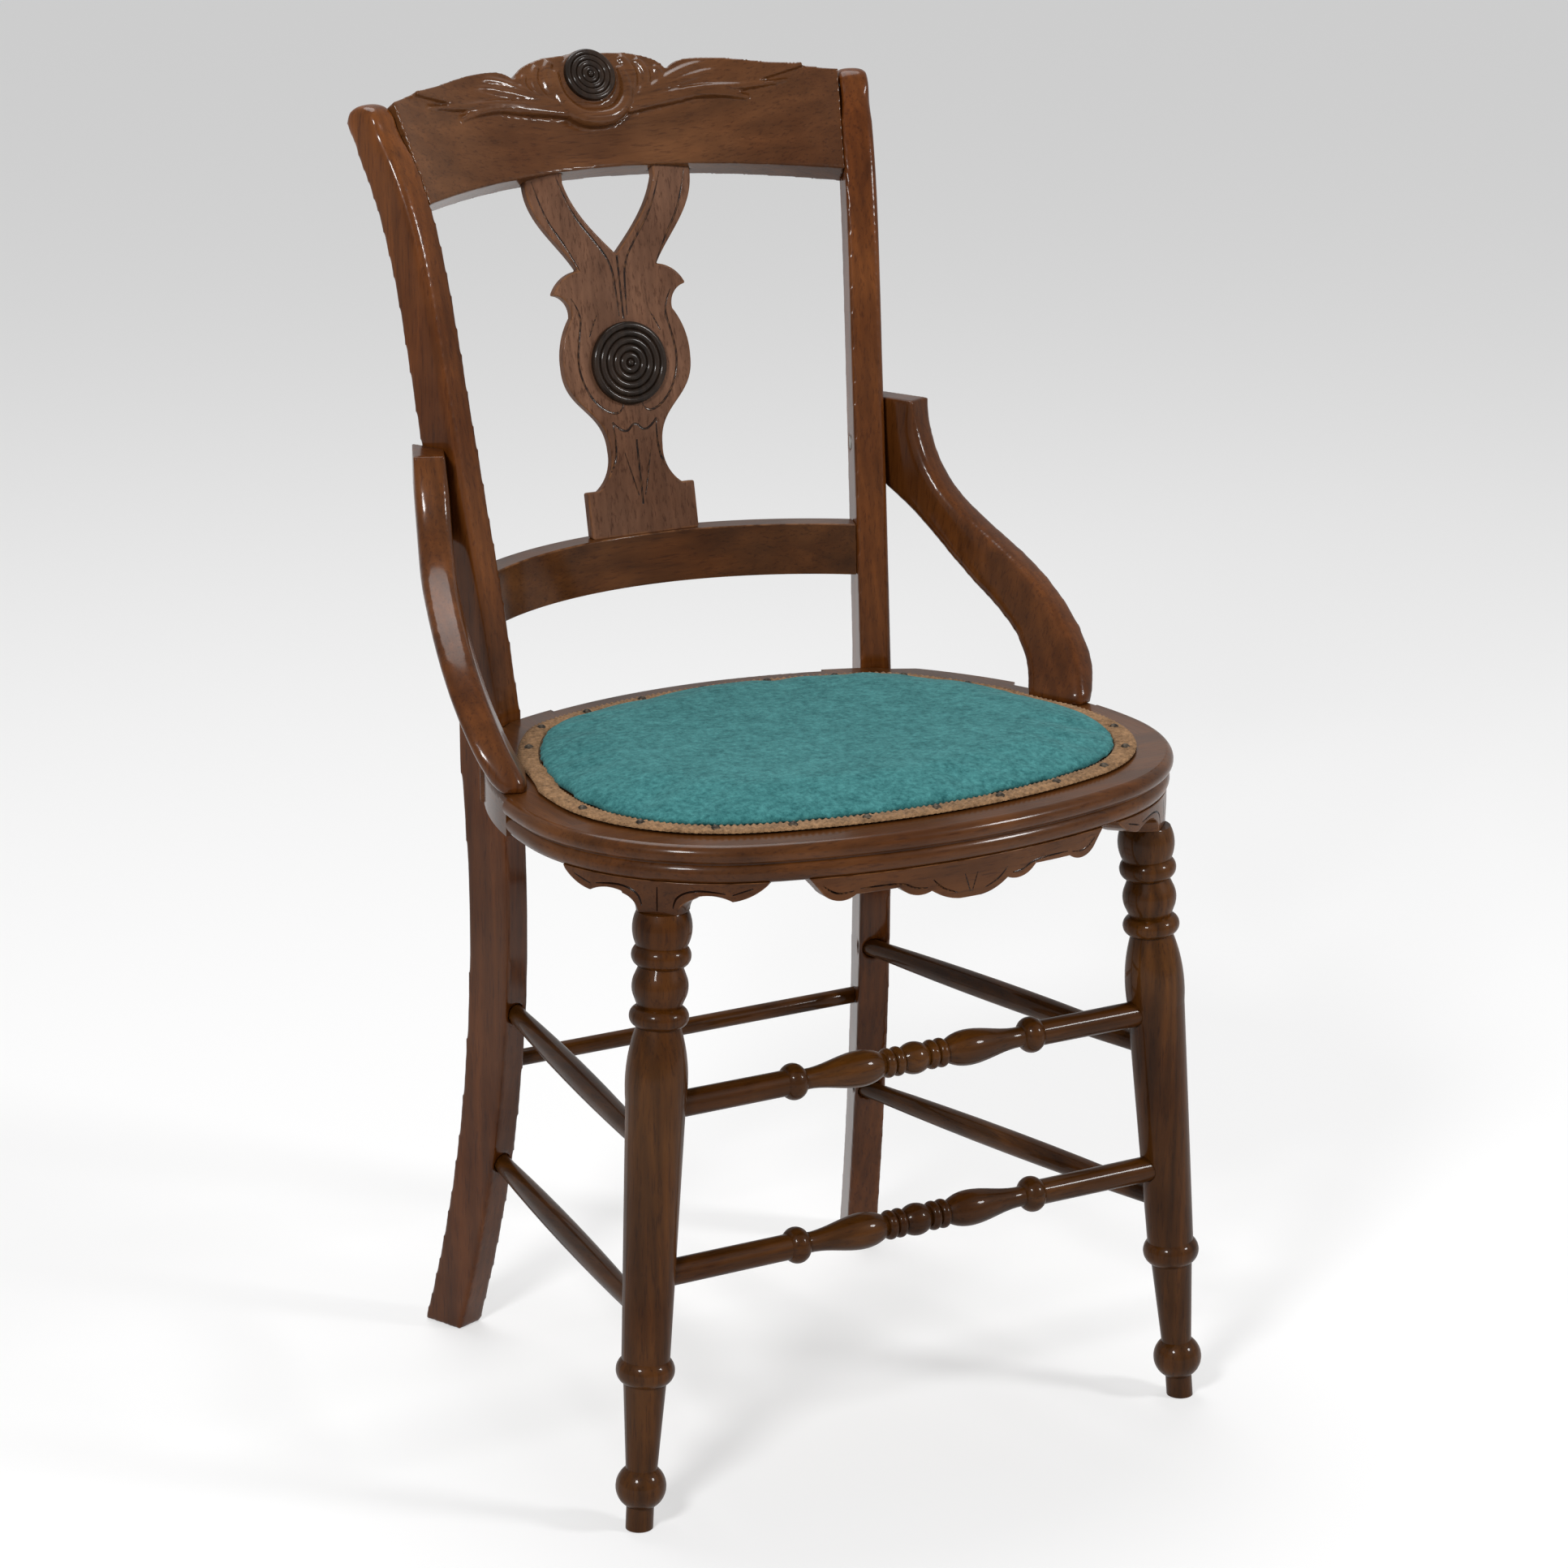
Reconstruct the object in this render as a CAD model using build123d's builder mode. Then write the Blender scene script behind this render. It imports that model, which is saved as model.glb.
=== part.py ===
import os
from math import atan, atan2, cos, degrees, hypot, radians, sin, sqrt

from build123d import *

# A side chair with a round upholstered seat, hip rests, turned front legs and a carved back.
# X points to the viewer's right, Y to the back and Z up. The right half is modelled and mirrored.

# Fits
fit = 0.2  # room round a tenon, dowel or turned end in its hole
end_room = 0.6  # room past the end of a tenon, dowel or screw
soft_gap = 0.3  # room between the stuffing and its cover

# Depths are measured back from the line of the front feet, which lies in front of the origin
feet_line_y = -211.1

# Seat frame, in plan a front arc, two corner arcs, two side arcs and a rear arc
seat_top = 443.0
seat_thickness = 25.0
seat_half_width = 226.0
seat_overhang = 52.0
seat_widest_depth = 100.0
seat_front_radius = 420.0
seat_rear_depth = 325.0
seat_rear_radius = 345.0
rail_width = 58.0
rebate_width = 12.0
rebate_depth = 6.0
moulding_end_depth = 138.0
front_joint_depth = 64.0
rear_joint_x = 104.0
edge_round = 5.0
upper_bead_height = 11.0
quirk_depth = 4.5
quirk_height = 1.6
lower_set_back = 2.2

# Front legs, turned about an axis that leans in and back as it rises
leg_edge_room = 15.7  # from the seat's corner arc in to the leg's axis at its shoulder
leg_lean_in = 28.4
leg_lean_back = 15.2
leg_tip_d = 17.5
leg_ball_d = 32.0
leg_ankle_d = 20.0
leg_calf_d = 27.0
leg_ring_d = 37.0
leg_shaft_low_d = 30.5
leg_shaft_d = 37.6
leg_neck_d = 27.5
leg_collar_d = 31.5
leg_bead_d = 37.0
leg_bulb_d = 35.0
leg_tip_height = 14.5
leg_ball_height = 25.0
leg_ankle_height = 56.0
leg_ring_height = 16.0
leg_taper_height = 167.0
leg_shaft_height = 214.0
leg_cup_height = 13.0
leg_collar_height = 5.0
leg_bulb_height = 15.0
leg_bead_height = 13.0
leg_shoulder_z = 398.0
leg_tenon_d = 18.0
leg_tenon_depth = 16.0

# Fan brackets over the front legs
bracket_inset = 4.0
bracket_thickness = 15.0
fan_low_r = 16.5
fan_high_r = 25.0
fan_flare_height = 11.0
wing_length = 66.0
wing_knee_x = 57.5
wing_knee_drop = 6.8
wing_tip = 45.4
wing_drop = 10.8
wing_hollow_x = 34.0
wing_hollow_drop = 7.0

# Carved apron under the front rail
apron_inset = 4.0
apron_thickness = 11.0
apron_offset = 5.0  # the strip is set to the right of the middle
apron_half_length = 107.0
apron_drop = 23.5
apron_lobe_half = 27.5
apron_lobe_round = 18.0
apron_lobe_drop = 21.0
apron_notch_drop = 15.7
apron_curl_x = 39.0
apron_curl_drop = 17.0
apron_step_x = 49.5
apron_step_drop = 10.7
apron_run_x = 78.0
apron_run_drop = 11.5
apron_end_x = 90.0
apron_end_drop = 14.6
apron_tail_x = 100.0
apron_tail_drop = 8.0

# Rear posts, planks turned about the vertical and sawn to a side profile; s runs back along a plank
post_angle = 20.9
post_thickness = 22.0
post_x = 156.0
post_depth_place = 365.3
crest_low_z = 777.0
post_foot_s = -24.4
post_knee_s = -69.5
post_knee_z = 203.0
post_seat_s = -72.0
post_waist_s = -54.0
post_waist_z = 545.0
post_shoulder_s = -28.0
post_shoulder_z = 668.0
post_tip_s = 27.0
post_tip_z = 826.0
post_top_round = 14.0
post_foot_depth = 33.0
post_knee_depth = 34.5
post_seat_depth = 36.5
post_waist_depth = 33.5
post_top_depth = 30.0
post_flat_margin = 6.0
post_arris = 5.0

# Stretchers
front_low_z = 163.7
front_high_z = 271.8
front_stretcher_d = 17.0
front_bead_d = 23.5
front_bulb_d = 21.0
front_neck_d = 13.5
front_vase_d = 23.0
front_bead_x = 87.3
front_bead_width = 14.0
front_knop_width = 7.0
socket_depth = 12.0
side_low_front_z = 137.7
side_low_rear_z = 128.0
side_high_front_z = 244.0
side_high_rear_z = 239.0
side_stretcher_d = 16.5
side_end_d = 12.5
rear_stretcher_z = 198.0
rear_stretcher_d = 11.5
rear_tenon_d = 8.0

# Crest rail, bowed back in plan and leaning back
crest_bow = 47.0
crest_thickness = 20.0
crest_lean = 0.58
crest_arch = 6.0
crest_end_height = 64.0
crest_peak_height = 70.0
crest_peak_x = 88.0
crest_dip_height = 63.0
crest_dip_x = 58.0
crest_crown_height = 77.0
crest_crown_x = 32.0
carving_relief = 4.0
carving_low_height = 36.0
carving_tip_x = 146.0
boss_r = 19.5
boss_height = 61.0
boss_rise = 2.0
boss_root = 7.0
rosette_d = 37.0
rosette_rise = 5.0
rosette_rings = 4

# Lower back rail and splat
lower_rail_z = 504.6
lower_rail_height = 35.0
lower_rail_end_s = -56.0
lower_rail_bow = 46.0
lower_rail_thickness = 17.0
lower_rail_lean = 0.12
tenon_thickness = 9.0
tenon_length = 13.0
tenon_shoulder = 6.0
splat_thickness = 7.5
splat_set_back = 1.5
splat_base_half = 41.0
splat_base_height = 32.0
splat_notch = 9.0
splat_waist_half = 20.0
splat_waist_height = 58.0
splat_body_half = 48.5
splat_body_height = 116.0
splat_neck_half = 38.5
splat_neck_height = 150.0
splat_ear_half = 50.5
splat_ear_height = 166.0
splat_throat_half = 30.0
splat_throat_height = 181.0
splat_fork_height = 190.0
splat_arm_outer = 63.0
splat_arm_inner = 34.5
splat_swell = 2.5
splat_housing = 9.0
splat_tenon_half = 28.0
splat_tenon_thickness = 4.5
roundel_d = 56.0
roundel_rise = 5.5
roundel_rings = 5

# Hip rests, sawn to one curve in side view and to another across their thickness; w runs forwards
hip_angle = 24.0
hip_x = 176.5
hip_depth_place = 309.4
hip_top_z = 622.5
hip_thickness = 20.5
hip_edge_room = 3.0
hip_bend_z = 548.0
hip_brow_w = 26.0
hip_brow_z = 565.0
hip_elbow_w = 99.0
hip_elbow_z = 520.0
hip_shin_w = 152.0
hip_shin_z = 475.0
hip_foot_w = 169.5
hip_armpit_z = 560.0
hip_under_w = 62.0
hip_under_z = 507.0
hip_calf_w = 112.0
hip_calf_z = 471.0
hip_heel_w = 126.0
hip_end_w = 60.0

# Upholstery
panel_room = 0.4
cover_inset = 38.6
cover_thickness = 1.4
crown_height = 15.0
crown_inset = 110.0
gimp_inset = 24.5
gimp_width = 13.0
gimp_thickness = 1.8
hip_notch = 2.0
tack_count = 24
tack_head_d = 6.0
tack_head_rise = 1.8

# Dowels and screws
dowel_d = 9.0
dowel_length = 36.0
dowel_rise = 10.5
front_dowel_inset = 17.4
rear_dowel_inset = 19.7
inner_dowel_inset = 41.8
post_dowel_low = 6.8
post_dowel_high = 18.2
screw_d = 4.4
screw_head_d = 9.0
screw_head_height = 3.0
screw_post_bite = 9.0
screw_foot_bite = 10.0

os.makedirs("parts", exist_ok=True)

# Places that follow from the sizes
seat_bottom = seat_top - seat_thickness
seat_front_y = feet_line_y - seat_overhang
seat_widest_y = feet_line_y + seat_widest_depth
seat_rear_y = feet_line_y + seat_rear_depth
front_reach = seat_widest_y - seat_front_y
corner_radius = seat_half_width**2 + front_reach**2 - 2 * front_reach * seat_front_radius
corner_radius = corner_radius / (2 * seat_half_width - 2 * seat_front_radius)
turn_sin = sin(radians(post_angle))
turn_cos = cos(radians(post_angle))
post_y = feet_line_y + post_depth_place
post_plane = Plane(origin=(post_x, post_y, 0), x_dir=(turn_sin, turn_cos, 0), z_dir=(turn_cos, -turn_sin, 0))
large = 2 * seat_half_width  # reach of a cut that passes right through


def post_place(s, z, n):
    return post_plane.from_local_coords(Vector(s, z, n))


# The side arc runs from the seat's widest point to the outer front corner of the post
post_corner = post_place(post_seat_s, 0, post_thickness)
side_fall = seat_half_width - post_corner.X
side_run = post_corner.Y - seat_widest_y
side_radius = (side_run**2 + side_fall**2) / (2 * side_fall)
front_centre = (0, seat_front_y + seat_front_radius)
corner_centre = (seat_half_width - corner_radius, seat_widest_y)
side_centre = (seat_half_width - side_radius, seat_widest_y)
rear_centre = (0, seat_rear_y - seat_rear_radius)
front_turn = degrees(atan2(corner_centre[1] - front_centre[1], corner_centre[0] - front_centre[0]))
moulding_turn = degrees(atan2(moulding_end_depth - seat_widest_depth, side_radius))

# The leg's shoulder keeps its room inside the corner arc, and the foot stands out from it by the lean
shoulder_back = feet_line_y + leg_lean_back - seat_widest_y
foot_x = corner_centre[0] + sqrt((corner_radius - leg_edge_room) ** 2 - shoulder_back**2) + leg_lean_in


def circles_meet(c1, r1, c2, r2):
    # Where two circles meet, on the right of the way from the second centre to the first
    apart = hypot(c1[0] - c2[0], c1[1] - c2[1])
    along = (apart**2 + r2**2 - r1**2) / (2 * apart)
    across = sqrt(r2**2 - along**2)
    ux = (c1[0] - c2[0]) / apart
    uy = (c1[1] - c2[1]) / apart
    return (c2[0] + along * ux + across * uy, c2[1] + along * uy - across * ux)


def seat_face(inset):
    # The seat's plan, drawn inside the outer edge by the inset, with soft rear corners
    side_r = side_radius - inset
    rear_r = seat_rear_radius - inset
    corner_r = corner_radius - inset
    meet = circles_meet(side_centre, side_r, rear_centre, rear_r)
    side_angle = degrees(atan2(meet[1] - side_centre[1], meet[0] - side_centre[0]))
    rear_angle = degrees(atan2(meet[1] - rear_centre[1], meet[0] - rear_centre[0]))
    with BuildSketch() as outline:
        with BuildLine():
            CenterArc(front_centre, seat_front_radius - inset, 180 - front_turn, 180 + 2 * front_turn)
            CenterArc(corner_centre, corner_r, front_turn, -front_turn)
            CenterArc(side_centre, side_r, 0, side_angle)
            CenterArc(rear_centre, rear_r, rear_angle, 180 - 2 * rear_angle)
            CenterArc((-side_centre[0], side_centre[1]), side_r, 180 - side_angle, side_angle)
            CenterArc((-corner_centre[0], corner_centre[1]), corner_r, 180, -front_turn)
        make_face()
        fillet(outline.vertices().sort_by(Axis.Y)[-2:], radius=rail_width)
    return outline.sketch


def arc_plane(centre, angle):
    # A plane through an arc's centre: x outwards at the angle, y up from the frame's underside
    turn = radians(angle)
    origin = (centre[0], centre[1], seat_bottom)
    return Plane(origin=origin, x_dir=(cos(turn), sin(turn), 0), z_dir=(sin(turn), -cos(turn), 0))


def rail_section(radius, moulded):
    # A rail cut across: a rebate for the panel inside, and outside a moulded or a plain edge
    inner = radius - rail_width
    step = inner + rebate_width
    shelf = seat_thickness - rebate_depth
    quirk_top = seat_thickness - upper_bead_height
    quirk_low = quirk_top - quirk_height
    edge = radius - lower_set_back
    bead_low = radius - edge_round / 2
    with BuildSketch() as section:
        with BuildLine():
            Polyline((inner, 0), (inner, shelf), (step, shelf), (step, seat_thickness))
            if moulded:
                Line((step, seat_thickness), (radius - edge_round, seat_thickness))
                bead_mid = (radius, (seat_thickness + quirk_top) / 2)
                ThreePointArc((radius - edge_round, seat_thickness), bead_mid, (bead_low, quirk_top))
                quirk = radius - quirk_depth
                Polyline((bead_low, quirk_top), (quirk, quirk_top), (quirk, quirk_low))
                ThreePointArc((quirk, quirk_low), (edge, quirk_low / 2), (edge - edge_round, 0))
                Line((edge - edge_round, 0), (inner, 0))
            else:
                Line((step, seat_thickness), (edge - edge_round, seat_thickness))
                RadiusArc((edge - edge_round, seat_thickness), (edge, seat_thickness - edge_round), edge_round)
                Polyline((edge, seat_thickness - edge_round), (edge, 0), (inner, 0))
        make_face()
    return section.sketch


def leg_place(z):
    # A point on the right front leg's axis
    rise = z / leg_shoulder_z
    return Vector(foot_x - leg_lean_in * rise, feet_line_y + leg_lean_back * rise, z)


leg_way = (leg_place(leg_shoulder_z) - leg_place(0)).normalized()
leg_stretch = (leg_place(leg_shoulder_z) - leg_place(0)).length / leg_shoulder_z
leg_across = Vector(0, 1, 0).cross(leg_way).normalized()
leg_plane = Plane(origin=leg_place(0), x_dir=leg_across, z_dir=leg_way)
leg_profile_plane = Plane(origin=leg_place(0), x_dir=leg_across, z_dir=leg_across.cross(leg_way))
socket_start = leg_shaft_d / 2 - socket_depth  # how far from a leg's axis a stretcher ends

# The post's front edge below the seat is one arc, so that rods can be set on it
flat_low_z = seat_bottom - post_flat_margin
flat_high_z = seat_top + post_flat_margin
chord_a = Vector(post_foot_s, 0)
chord_b = Vector(post_knee_s, post_knee_z)
chord_c = Vector(post_seat_s, flat_low_z)
shin_arc = Edge.make_three_point_arc(chord_a, chord_b, chord_c)
shin_centre = shin_arc.arc_center
shin_radius = shin_arc.radius


def post_front(z):
    # The place of the post's front edge below the seat
    return shin_centre.X - sqrt(shin_radius**2 - (z - shin_centre.Y) ** 2)


def side_rod(front_z, rear_z):
    # The axis of a side stretcher, from the leg's axis to the middle of the post's front face
    start = leg_place(front_z)
    end = post_place(post_front(rear_z), rear_z, post_thickness / 2)
    return start, end


side_rods = {"low": side_rod(side_low_front_z, side_low_rear_z)}
side_rods["high"] = side_rod(side_high_front_z, side_high_rear_z)


def rod_plane(rod):
    start, end = rod
    return Plane(origin=start, z_dir=(end - start).normalized())


# Crest rail: an arc in plan through the posts' front corners
crest_mid_y = post_y + crest_bow
crest_tilt = atan(crest_lean)
crest_sag = crest_bow * cos(crest_tilt)
crest_bend = (post_x**2 + crest_sag**2) / (2 * crest_sag)
crest_face = Plane(
    origin=(0, crest_mid_y, crest_low_z), x_dir=(1, 0, 0), z_dir=(0, -cos(crest_tilt), sin(crest_tilt))
)
crest_tenon_s = crest_lean * crest_end_height / 2 * turn_cos + crest_thickness / 2
crest_tenon_height = crest_end_height - 4 * tenon_shoulder

# Lower rail: an arc in plan between the posts' inner faces
lower_end = post_place(lower_rail_end_s, lower_rail_z, 0)
lower_mid_y = lower_end.Y + lower_rail_bow
lower_top_z = lower_rail_z + lower_rail_height
lower_tenon_s = lower_rail_end_s + lower_rail_thickness / 2 + lower_rail_lean * lower_rail_height / 2

# Splat: a flat board from the lower rail up into the crest rail
splat_foot_y = lower_mid_y + lower_rail_lean * lower_rail_height + splat_set_back
splat_rise = crest_low_z + crest_arch - lower_top_z
splat_run = crest_mid_y + crest_lean * crest_arch + splat_set_back - splat_foot_y
splat_height = hypot(splat_rise, splat_run)
splat_tilt = atan2(splat_run, splat_rise)
splat_tenon_set = (splat_thickness - splat_tenon_thickness) / 2
splat_plane = Plane(
    origin=(0, splat_foot_y, lower_top_z), x_dir=(1, 0, 0), z_dir=(0, -cos(splat_tilt), sin(splat_tilt))
)
boss_plane = Plane(
    origin=(0, crest_mid_y + crest_lean * boss_height, crest_low_z + boss_height),
    x_dir=(1, 0, 0),
    z_dir=(0, -cos(crest_tilt), sin(crest_tilt)),
)
boss_face = carving_relief + boss_rise

# Hip rest planes: one along its length and one across its thickness
hip_way = Vector(sin(radians(hip_angle)), -cos(radians(hip_angle)), 0)
hip_out = Vector(cos(radians(hip_angle)), sin(radians(hip_angle)), 0)
hip_reach = seat_half_width - hip_edge_room - hip_x - hip_foot_w * sin(radians(hip_angle))
hip_sweep_in = hip_thickness - hip_reach / cos(radians(hip_angle))
hip_origin = Vector(hip_x, feet_line_y + hip_depth_place, 0)
hip_side_plane = Plane(origin=hip_origin, x_dir=hip_way, z_dir=hip_out * -1)
hip_cross_plane = Plane(origin=hip_origin, x_dir=hip_out, z_dir=hip_way)

# Screws that hold the hip rests: one through each post and one up through the seat frame
hip_post_s = post_waist_s + post_waist_depth - screw_d
hip_post_z = (hip_top_z + hip_armpit_z) / 2
hip_post_screw = Plane(origin=post_place(hip_post_s, hip_post_z, 0), z_dir=post_plane.z_dir)
foot_middle_w = (hip_foot_w + hip_heel_w) / 2
foot_middle = hip_origin + hip_way * foot_middle_w + hip_out * (hip_thickness / 2 - hip_sweep_in)
hip_foot_screw = Plane(origin=(foot_middle.X, foot_middle.Y, seat_bottom), z_dir=(0, 0, 1))

# Dowels: each is a plane at its middle, facing along it
front_dowels = []
for inset in (front_dowel_inset, inner_dowel_inset):
    edge_r = corner_radius - inset
    joint_drop = seat_widest_depth - front_joint_depth
    dowel_x = corner_centre[0] + sqrt(edge_r**2 - joint_drop**2)
    place = (dowel_x, feet_line_y + front_joint_depth, seat_bottom + dowel_rise)
    front_dowels.append(Plane(origin=place, z_dir=(0, 1, 0)))
rear_dowels = []
for inset in (rear_dowel_inset, inner_dowel_inset):
    dowel_y = rear_centre[1] + sqrt((seat_rear_radius - inset) ** 2 - rear_joint_x**2)
    place = (rear_joint_x, dowel_y, seat_bottom + dowel_rise)
    rear_dowels.append(Plane(origin=place, z_dir=(1, 0, 0)))
post_dowels = []
for z in (seat_bottom + post_dowel_low, seat_bottom + post_dowel_high):
    post_dowels.append(Plane(origin=post_place(post_seat_s, z, post_thickness / 2), z_dir=post_plane.x_dir))


# Front leg
with BuildPart() as front_leg_right:
    ball_top = leg_tip_height + leg_ball_height
    ankle_top = ball_top + leg_ankle_height
    ring_top = ankle_top + leg_ring_height
    taper_top = ring_top + leg_taper_height
    shaft_top = ring_top + leg_shaft_height
    cup_top = shaft_top + leg_cup_height
    bulb_low = cup_top + leg_collar_height
    bulb_top = bulb_low + leg_bulb_height
    bead_low = bulb_top + leg_collar_height
    bead_top = bead_low + leg_bead_height
    turned_top = leg_shoulder_z * leg_stretch + leg_tip_height
    neck_r = leg_neck_d / 2
    collar_r = leg_collar_d / 2
    bead_r = leg_bead_d / 2
    shaft_r = leg_shaft_d / 2
    with BuildSketch(leg_profile_plane):
        with BuildLine():
            Polyline((0, -leg_tip_height), (leg_tip_d / 2, -leg_tip_height), (leg_tip_d / 2, leg_tip_height))
            ball_mid = (leg_ball_d / 2, (leg_tip_height + ball_top) / 2)
            ThreePointArc((leg_tip_d / 2, leg_tip_height), ball_mid, (leg_ankle_d / 2, ball_top))
            Line((leg_ankle_d / 2, ball_top), (leg_calf_d / 2, ankle_top))
            ring_mid = (leg_ring_d / 2, (ankle_top + ring_top) / 2)
            ThreePointArc((leg_calf_d / 2, ankle_top), ring_mid, (leg_shaft_low_d / 2, ring_top))
            Line((leg_shaft_low_d / 2, ring_top), (shaft_r, taper_top))
            ThreePointArc((shaft_r, taper_top), (shaft_r, (taper_top + shaft_top) / 2), (neck_r, shaft_top))
            ThreePointArc((neck_r, shaft_top), (bead_r, (shaft_top + cup_top) / 2), (neck_r, cup_top))
            Line((neck_r, cup_top), (collar_r, bulb_low))
            ThreePointArc((collar_r, bulb_low), (leg_bulb_d / 2, (bulb_low + bulb_top) / 2), (collar_r, bulb_top))
            Polyline((collar_r, bulb_top), (neck_r, bead_low))
            ThreePointArc((neck_r, bead_low), (bead_r, (bead_low + bead_top) / 2), (collar_r, bead_top))
            shoulder = (collar_r, leg_shoulder_z * leg_stretch)
            ThreePointArc((collar_r, bead_top), (bead_r, (bead_top + shoulder[1]) / 2), shoulder)
            Polyline(shoulder, (collar_r, turned_top), (0, turned_top), (0, -leg_tip_height))
        make_face()
    revolve(axis=Axis(leg_place(0), leg_way))
    # The shoulder is cut level under the bracket, and the tip level with the floor
    with BuildSketch(Plane.XY.offset(leg_shoulder_z)):
        with Locations((foot_x, feet_line_y)):
            Rectangle(large, large)
    extrude(amount=large, mode=Mode.SUBTRACT)
    with BuildSketch(Plane.XY):
        with Locations((foot_x, feet_line_y)):
            Rectangle(large, large)
    extrude(amount=-large, mode=Mode.SUBTRACT)
    # Round tenon, up through the bracket into the seat rail
    tenon_start = leg_shoulder_z * leg_stretch - leg_tenon_d
    tenon_end = (seat_bottom + leg_tenon_depth) * leg_stretch
    with BuildSketch(leg_plane.offset(tenon_start)):
        Circle(leg_tenon_d / 2)
    extrude(amount=tenon_end - tenon_start)
    # Sockets for the front stretchers and the side stretchers
    for z in (front_low_z, front_high_z):
        with BuildSketch(Plane(origin=leg_place(z), z_dir=(-1, 0, 0)).offset(socket_start - end_room)):
            Circle(front_stretcher_d / 2 + fit)
        extrude(amount=leg_shaft_d, mode=Mode.SUBTRACT)
    for rod in side_rods.values():
        with BuildSketch(rod_plane(rod).offset(socket_start - end_room)):
            Circle(side_end_d / 2 + fit)
        extrude(amount=leg_shaft_d, mode=Mode.SUBTRACT)

# Rear post
with BuildPart() as rear_post_right:
    back_foot = (post_foot_s + post_foot_depth, 0)
    back_knee = (post_knee_s + post_knee_depth, post_knee_z)
    back_low = (post_seat_s + post_seat_depth, flat_low_z)
    back_high = (post_seat_s + post_seat_depth, flat_high_z)
    back_waist = (post_waist_s + post_waist_depth, post_waist_z)
    back_shoulder = (post_shoulder_s + post_top_depth, post_shoulder_z)
    back_crest = (post_top_depth, crest_low_z)
    back_tip = (post_tip_s + post_top_depth, post_tip_z)
    with BuildSketch(post_plane):
        with BuildLine():
            Line(back_foot, (post_foot_s, 0))
            ThreePointArc((post_foot_s, 0), (post_knee_s, post_knee_z), (post_seat_s, flat_low_z))
            Line((post_seat_s, flat_low_z), (post_seat_s, flat_high_z))
            Spline(
                (post_seat_s, flat_high_z),
                (post_waist_s, post_waist_z),
                (post_shoulder_s, post_shoulder_z),
                (0, crest_low_z),
                (post_tip_s, post_tip_z),
            )
            top_mid = (post_tip_s + post_top_depth / 2, post_tip_z + post_top_round)
            ThreePointArc((post_tip_s, post_tip_z), top_mid, back_tip)
            Spline(back_tip, back_crest, back_shoulder, back_waist, back_high)
            Line(back_high, back_low)
            ThreePointArc(back_low, back_knee, back_foot)
        make_face()
    extrude(amount=post_thickness)
    long_edges = rear_post_right.edges().filter_by(lambda edge: edge.length > post_thickness * 4)
    outer_edges = long_edges.filter_by(lambda edge: post_plane.to_local_coords(edge.center()).Z > post_thickness / 2)
    fillet(outer_edges.filter_by(GeomType.BSPLINE).sort_by(Axis.Y)[0], radius=post_arris)
    # Mortises for the crest rail and the lower rail, and the rear stretcher's hole, from the inner face
    with BuildSketch(post_plane):
        with Locations((crest_tenon_s, crest_low_z + crest_end_height / 2)):
            Rectangle(tenon_thickness + 2 * fit, crest_tenon_height + 2 * fit, rotation=-degrees(crest_tilt))
        with Locations((lower_tenon_s, lower_rail_z + lower_rail_height / 2)):
            Rectangle(tenon_thickness + 2 * fit, lower_rail_height - 2 * tenon_shoulder + 2 * fit)
    extrude(amount=tenon_length + end_room, mode=Mode.SUBTRACT)
    rear_s = post_front(rear_stretcher_z) + post_knee_depth / 2
    rear_end = post_place(rear_s, rear_stretcher_z, 0)
    with BuildSketch(Plane(origin=rear_end, z_dir=(1, 0, 0)).offset(-post_thickness / 2)):
        Circle(rear_tenon_d / 2 + fit)
    extrude(amount=post_thickness / 2 + tenon_length + end_room, mode=Mode.SUBTRACT)
    # Holes in the front face for the side stretchers and the seat dowels
    for rod in side_rods.values():
        with BuildSketch(Plane(origin=rod[1], z_dir=rod_plane(rod).z_dir).offset(-socket_depth)):
            Circle(side_end_d / 2 + fit)
        extrude(amount=2 * socket_depth + end_room, mode=Mode.SUBTRACT)
    for dowel in post_dowels:
        with BuildSketch(dowel):
            Circle(dowel_d / 2 + fit)
        extrude(amount=dowel_length / 2 + end_room, mode=Mode.SUBTRACT)
    # Countersunk hole for the hip rest's screw
    with BuildSketch(hip_post_screw):
        Circle(screw_d / 2 + fit)
    extrude(amount=post_thickness, mode=Mode.SUBTRACT)
    with BuildSketch(hip_post_screw):
        Circle(screw_head_d / 2 + fit)
    extrude(amount=screw_head_height, mode=Mode.SUBTRACT)

left_post_plane = Plane(
    origin=(-post_x, post_y, 0), x_dir=(-turn_sin, turn_cos, 0), z_dir=(turn_cos, turn_sin, 0)
)
post_sides = ((post_plane, 1), (left_post_plane, -1))


def bowed_board(half, bow, lean, middle_y, low_z, front, back):
    # A board bent round a leaning axis; its faces lie in front of and behind the bowed line
    tilt = atan(lean)
    sag = bow * cos(tilt)
    radius = (half**2 + sag**2) / (2 * sag)
    base = Plane(origin=(0, middle_y, low_z), x_dir=(1, 0, 0), z_dir=(0, sin(tilt), cos(tilt)))
    with BuildPart() as board:
        with BuildSketch(base.offset(-2 * bow)):
            with Locations((0, -radius)):
                Circle(radius + back)
                Circle(radius - front, mode=Mode.SUBTRACT)
            Rectangle(large, radius, mode=Mode.INTERSECT)
        extrude(amount=large)
    return board.part


def crest_up(x, height):
    # A point of the crest's front, given by its height over the rail's ends, as seen square to the leaning board
    sag = crest_bend - sqrt(crest_bend**2 - x**2)
    return (x, (height - sag * sin(crest_tilt)) / cos(crest_tilt))


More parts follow.
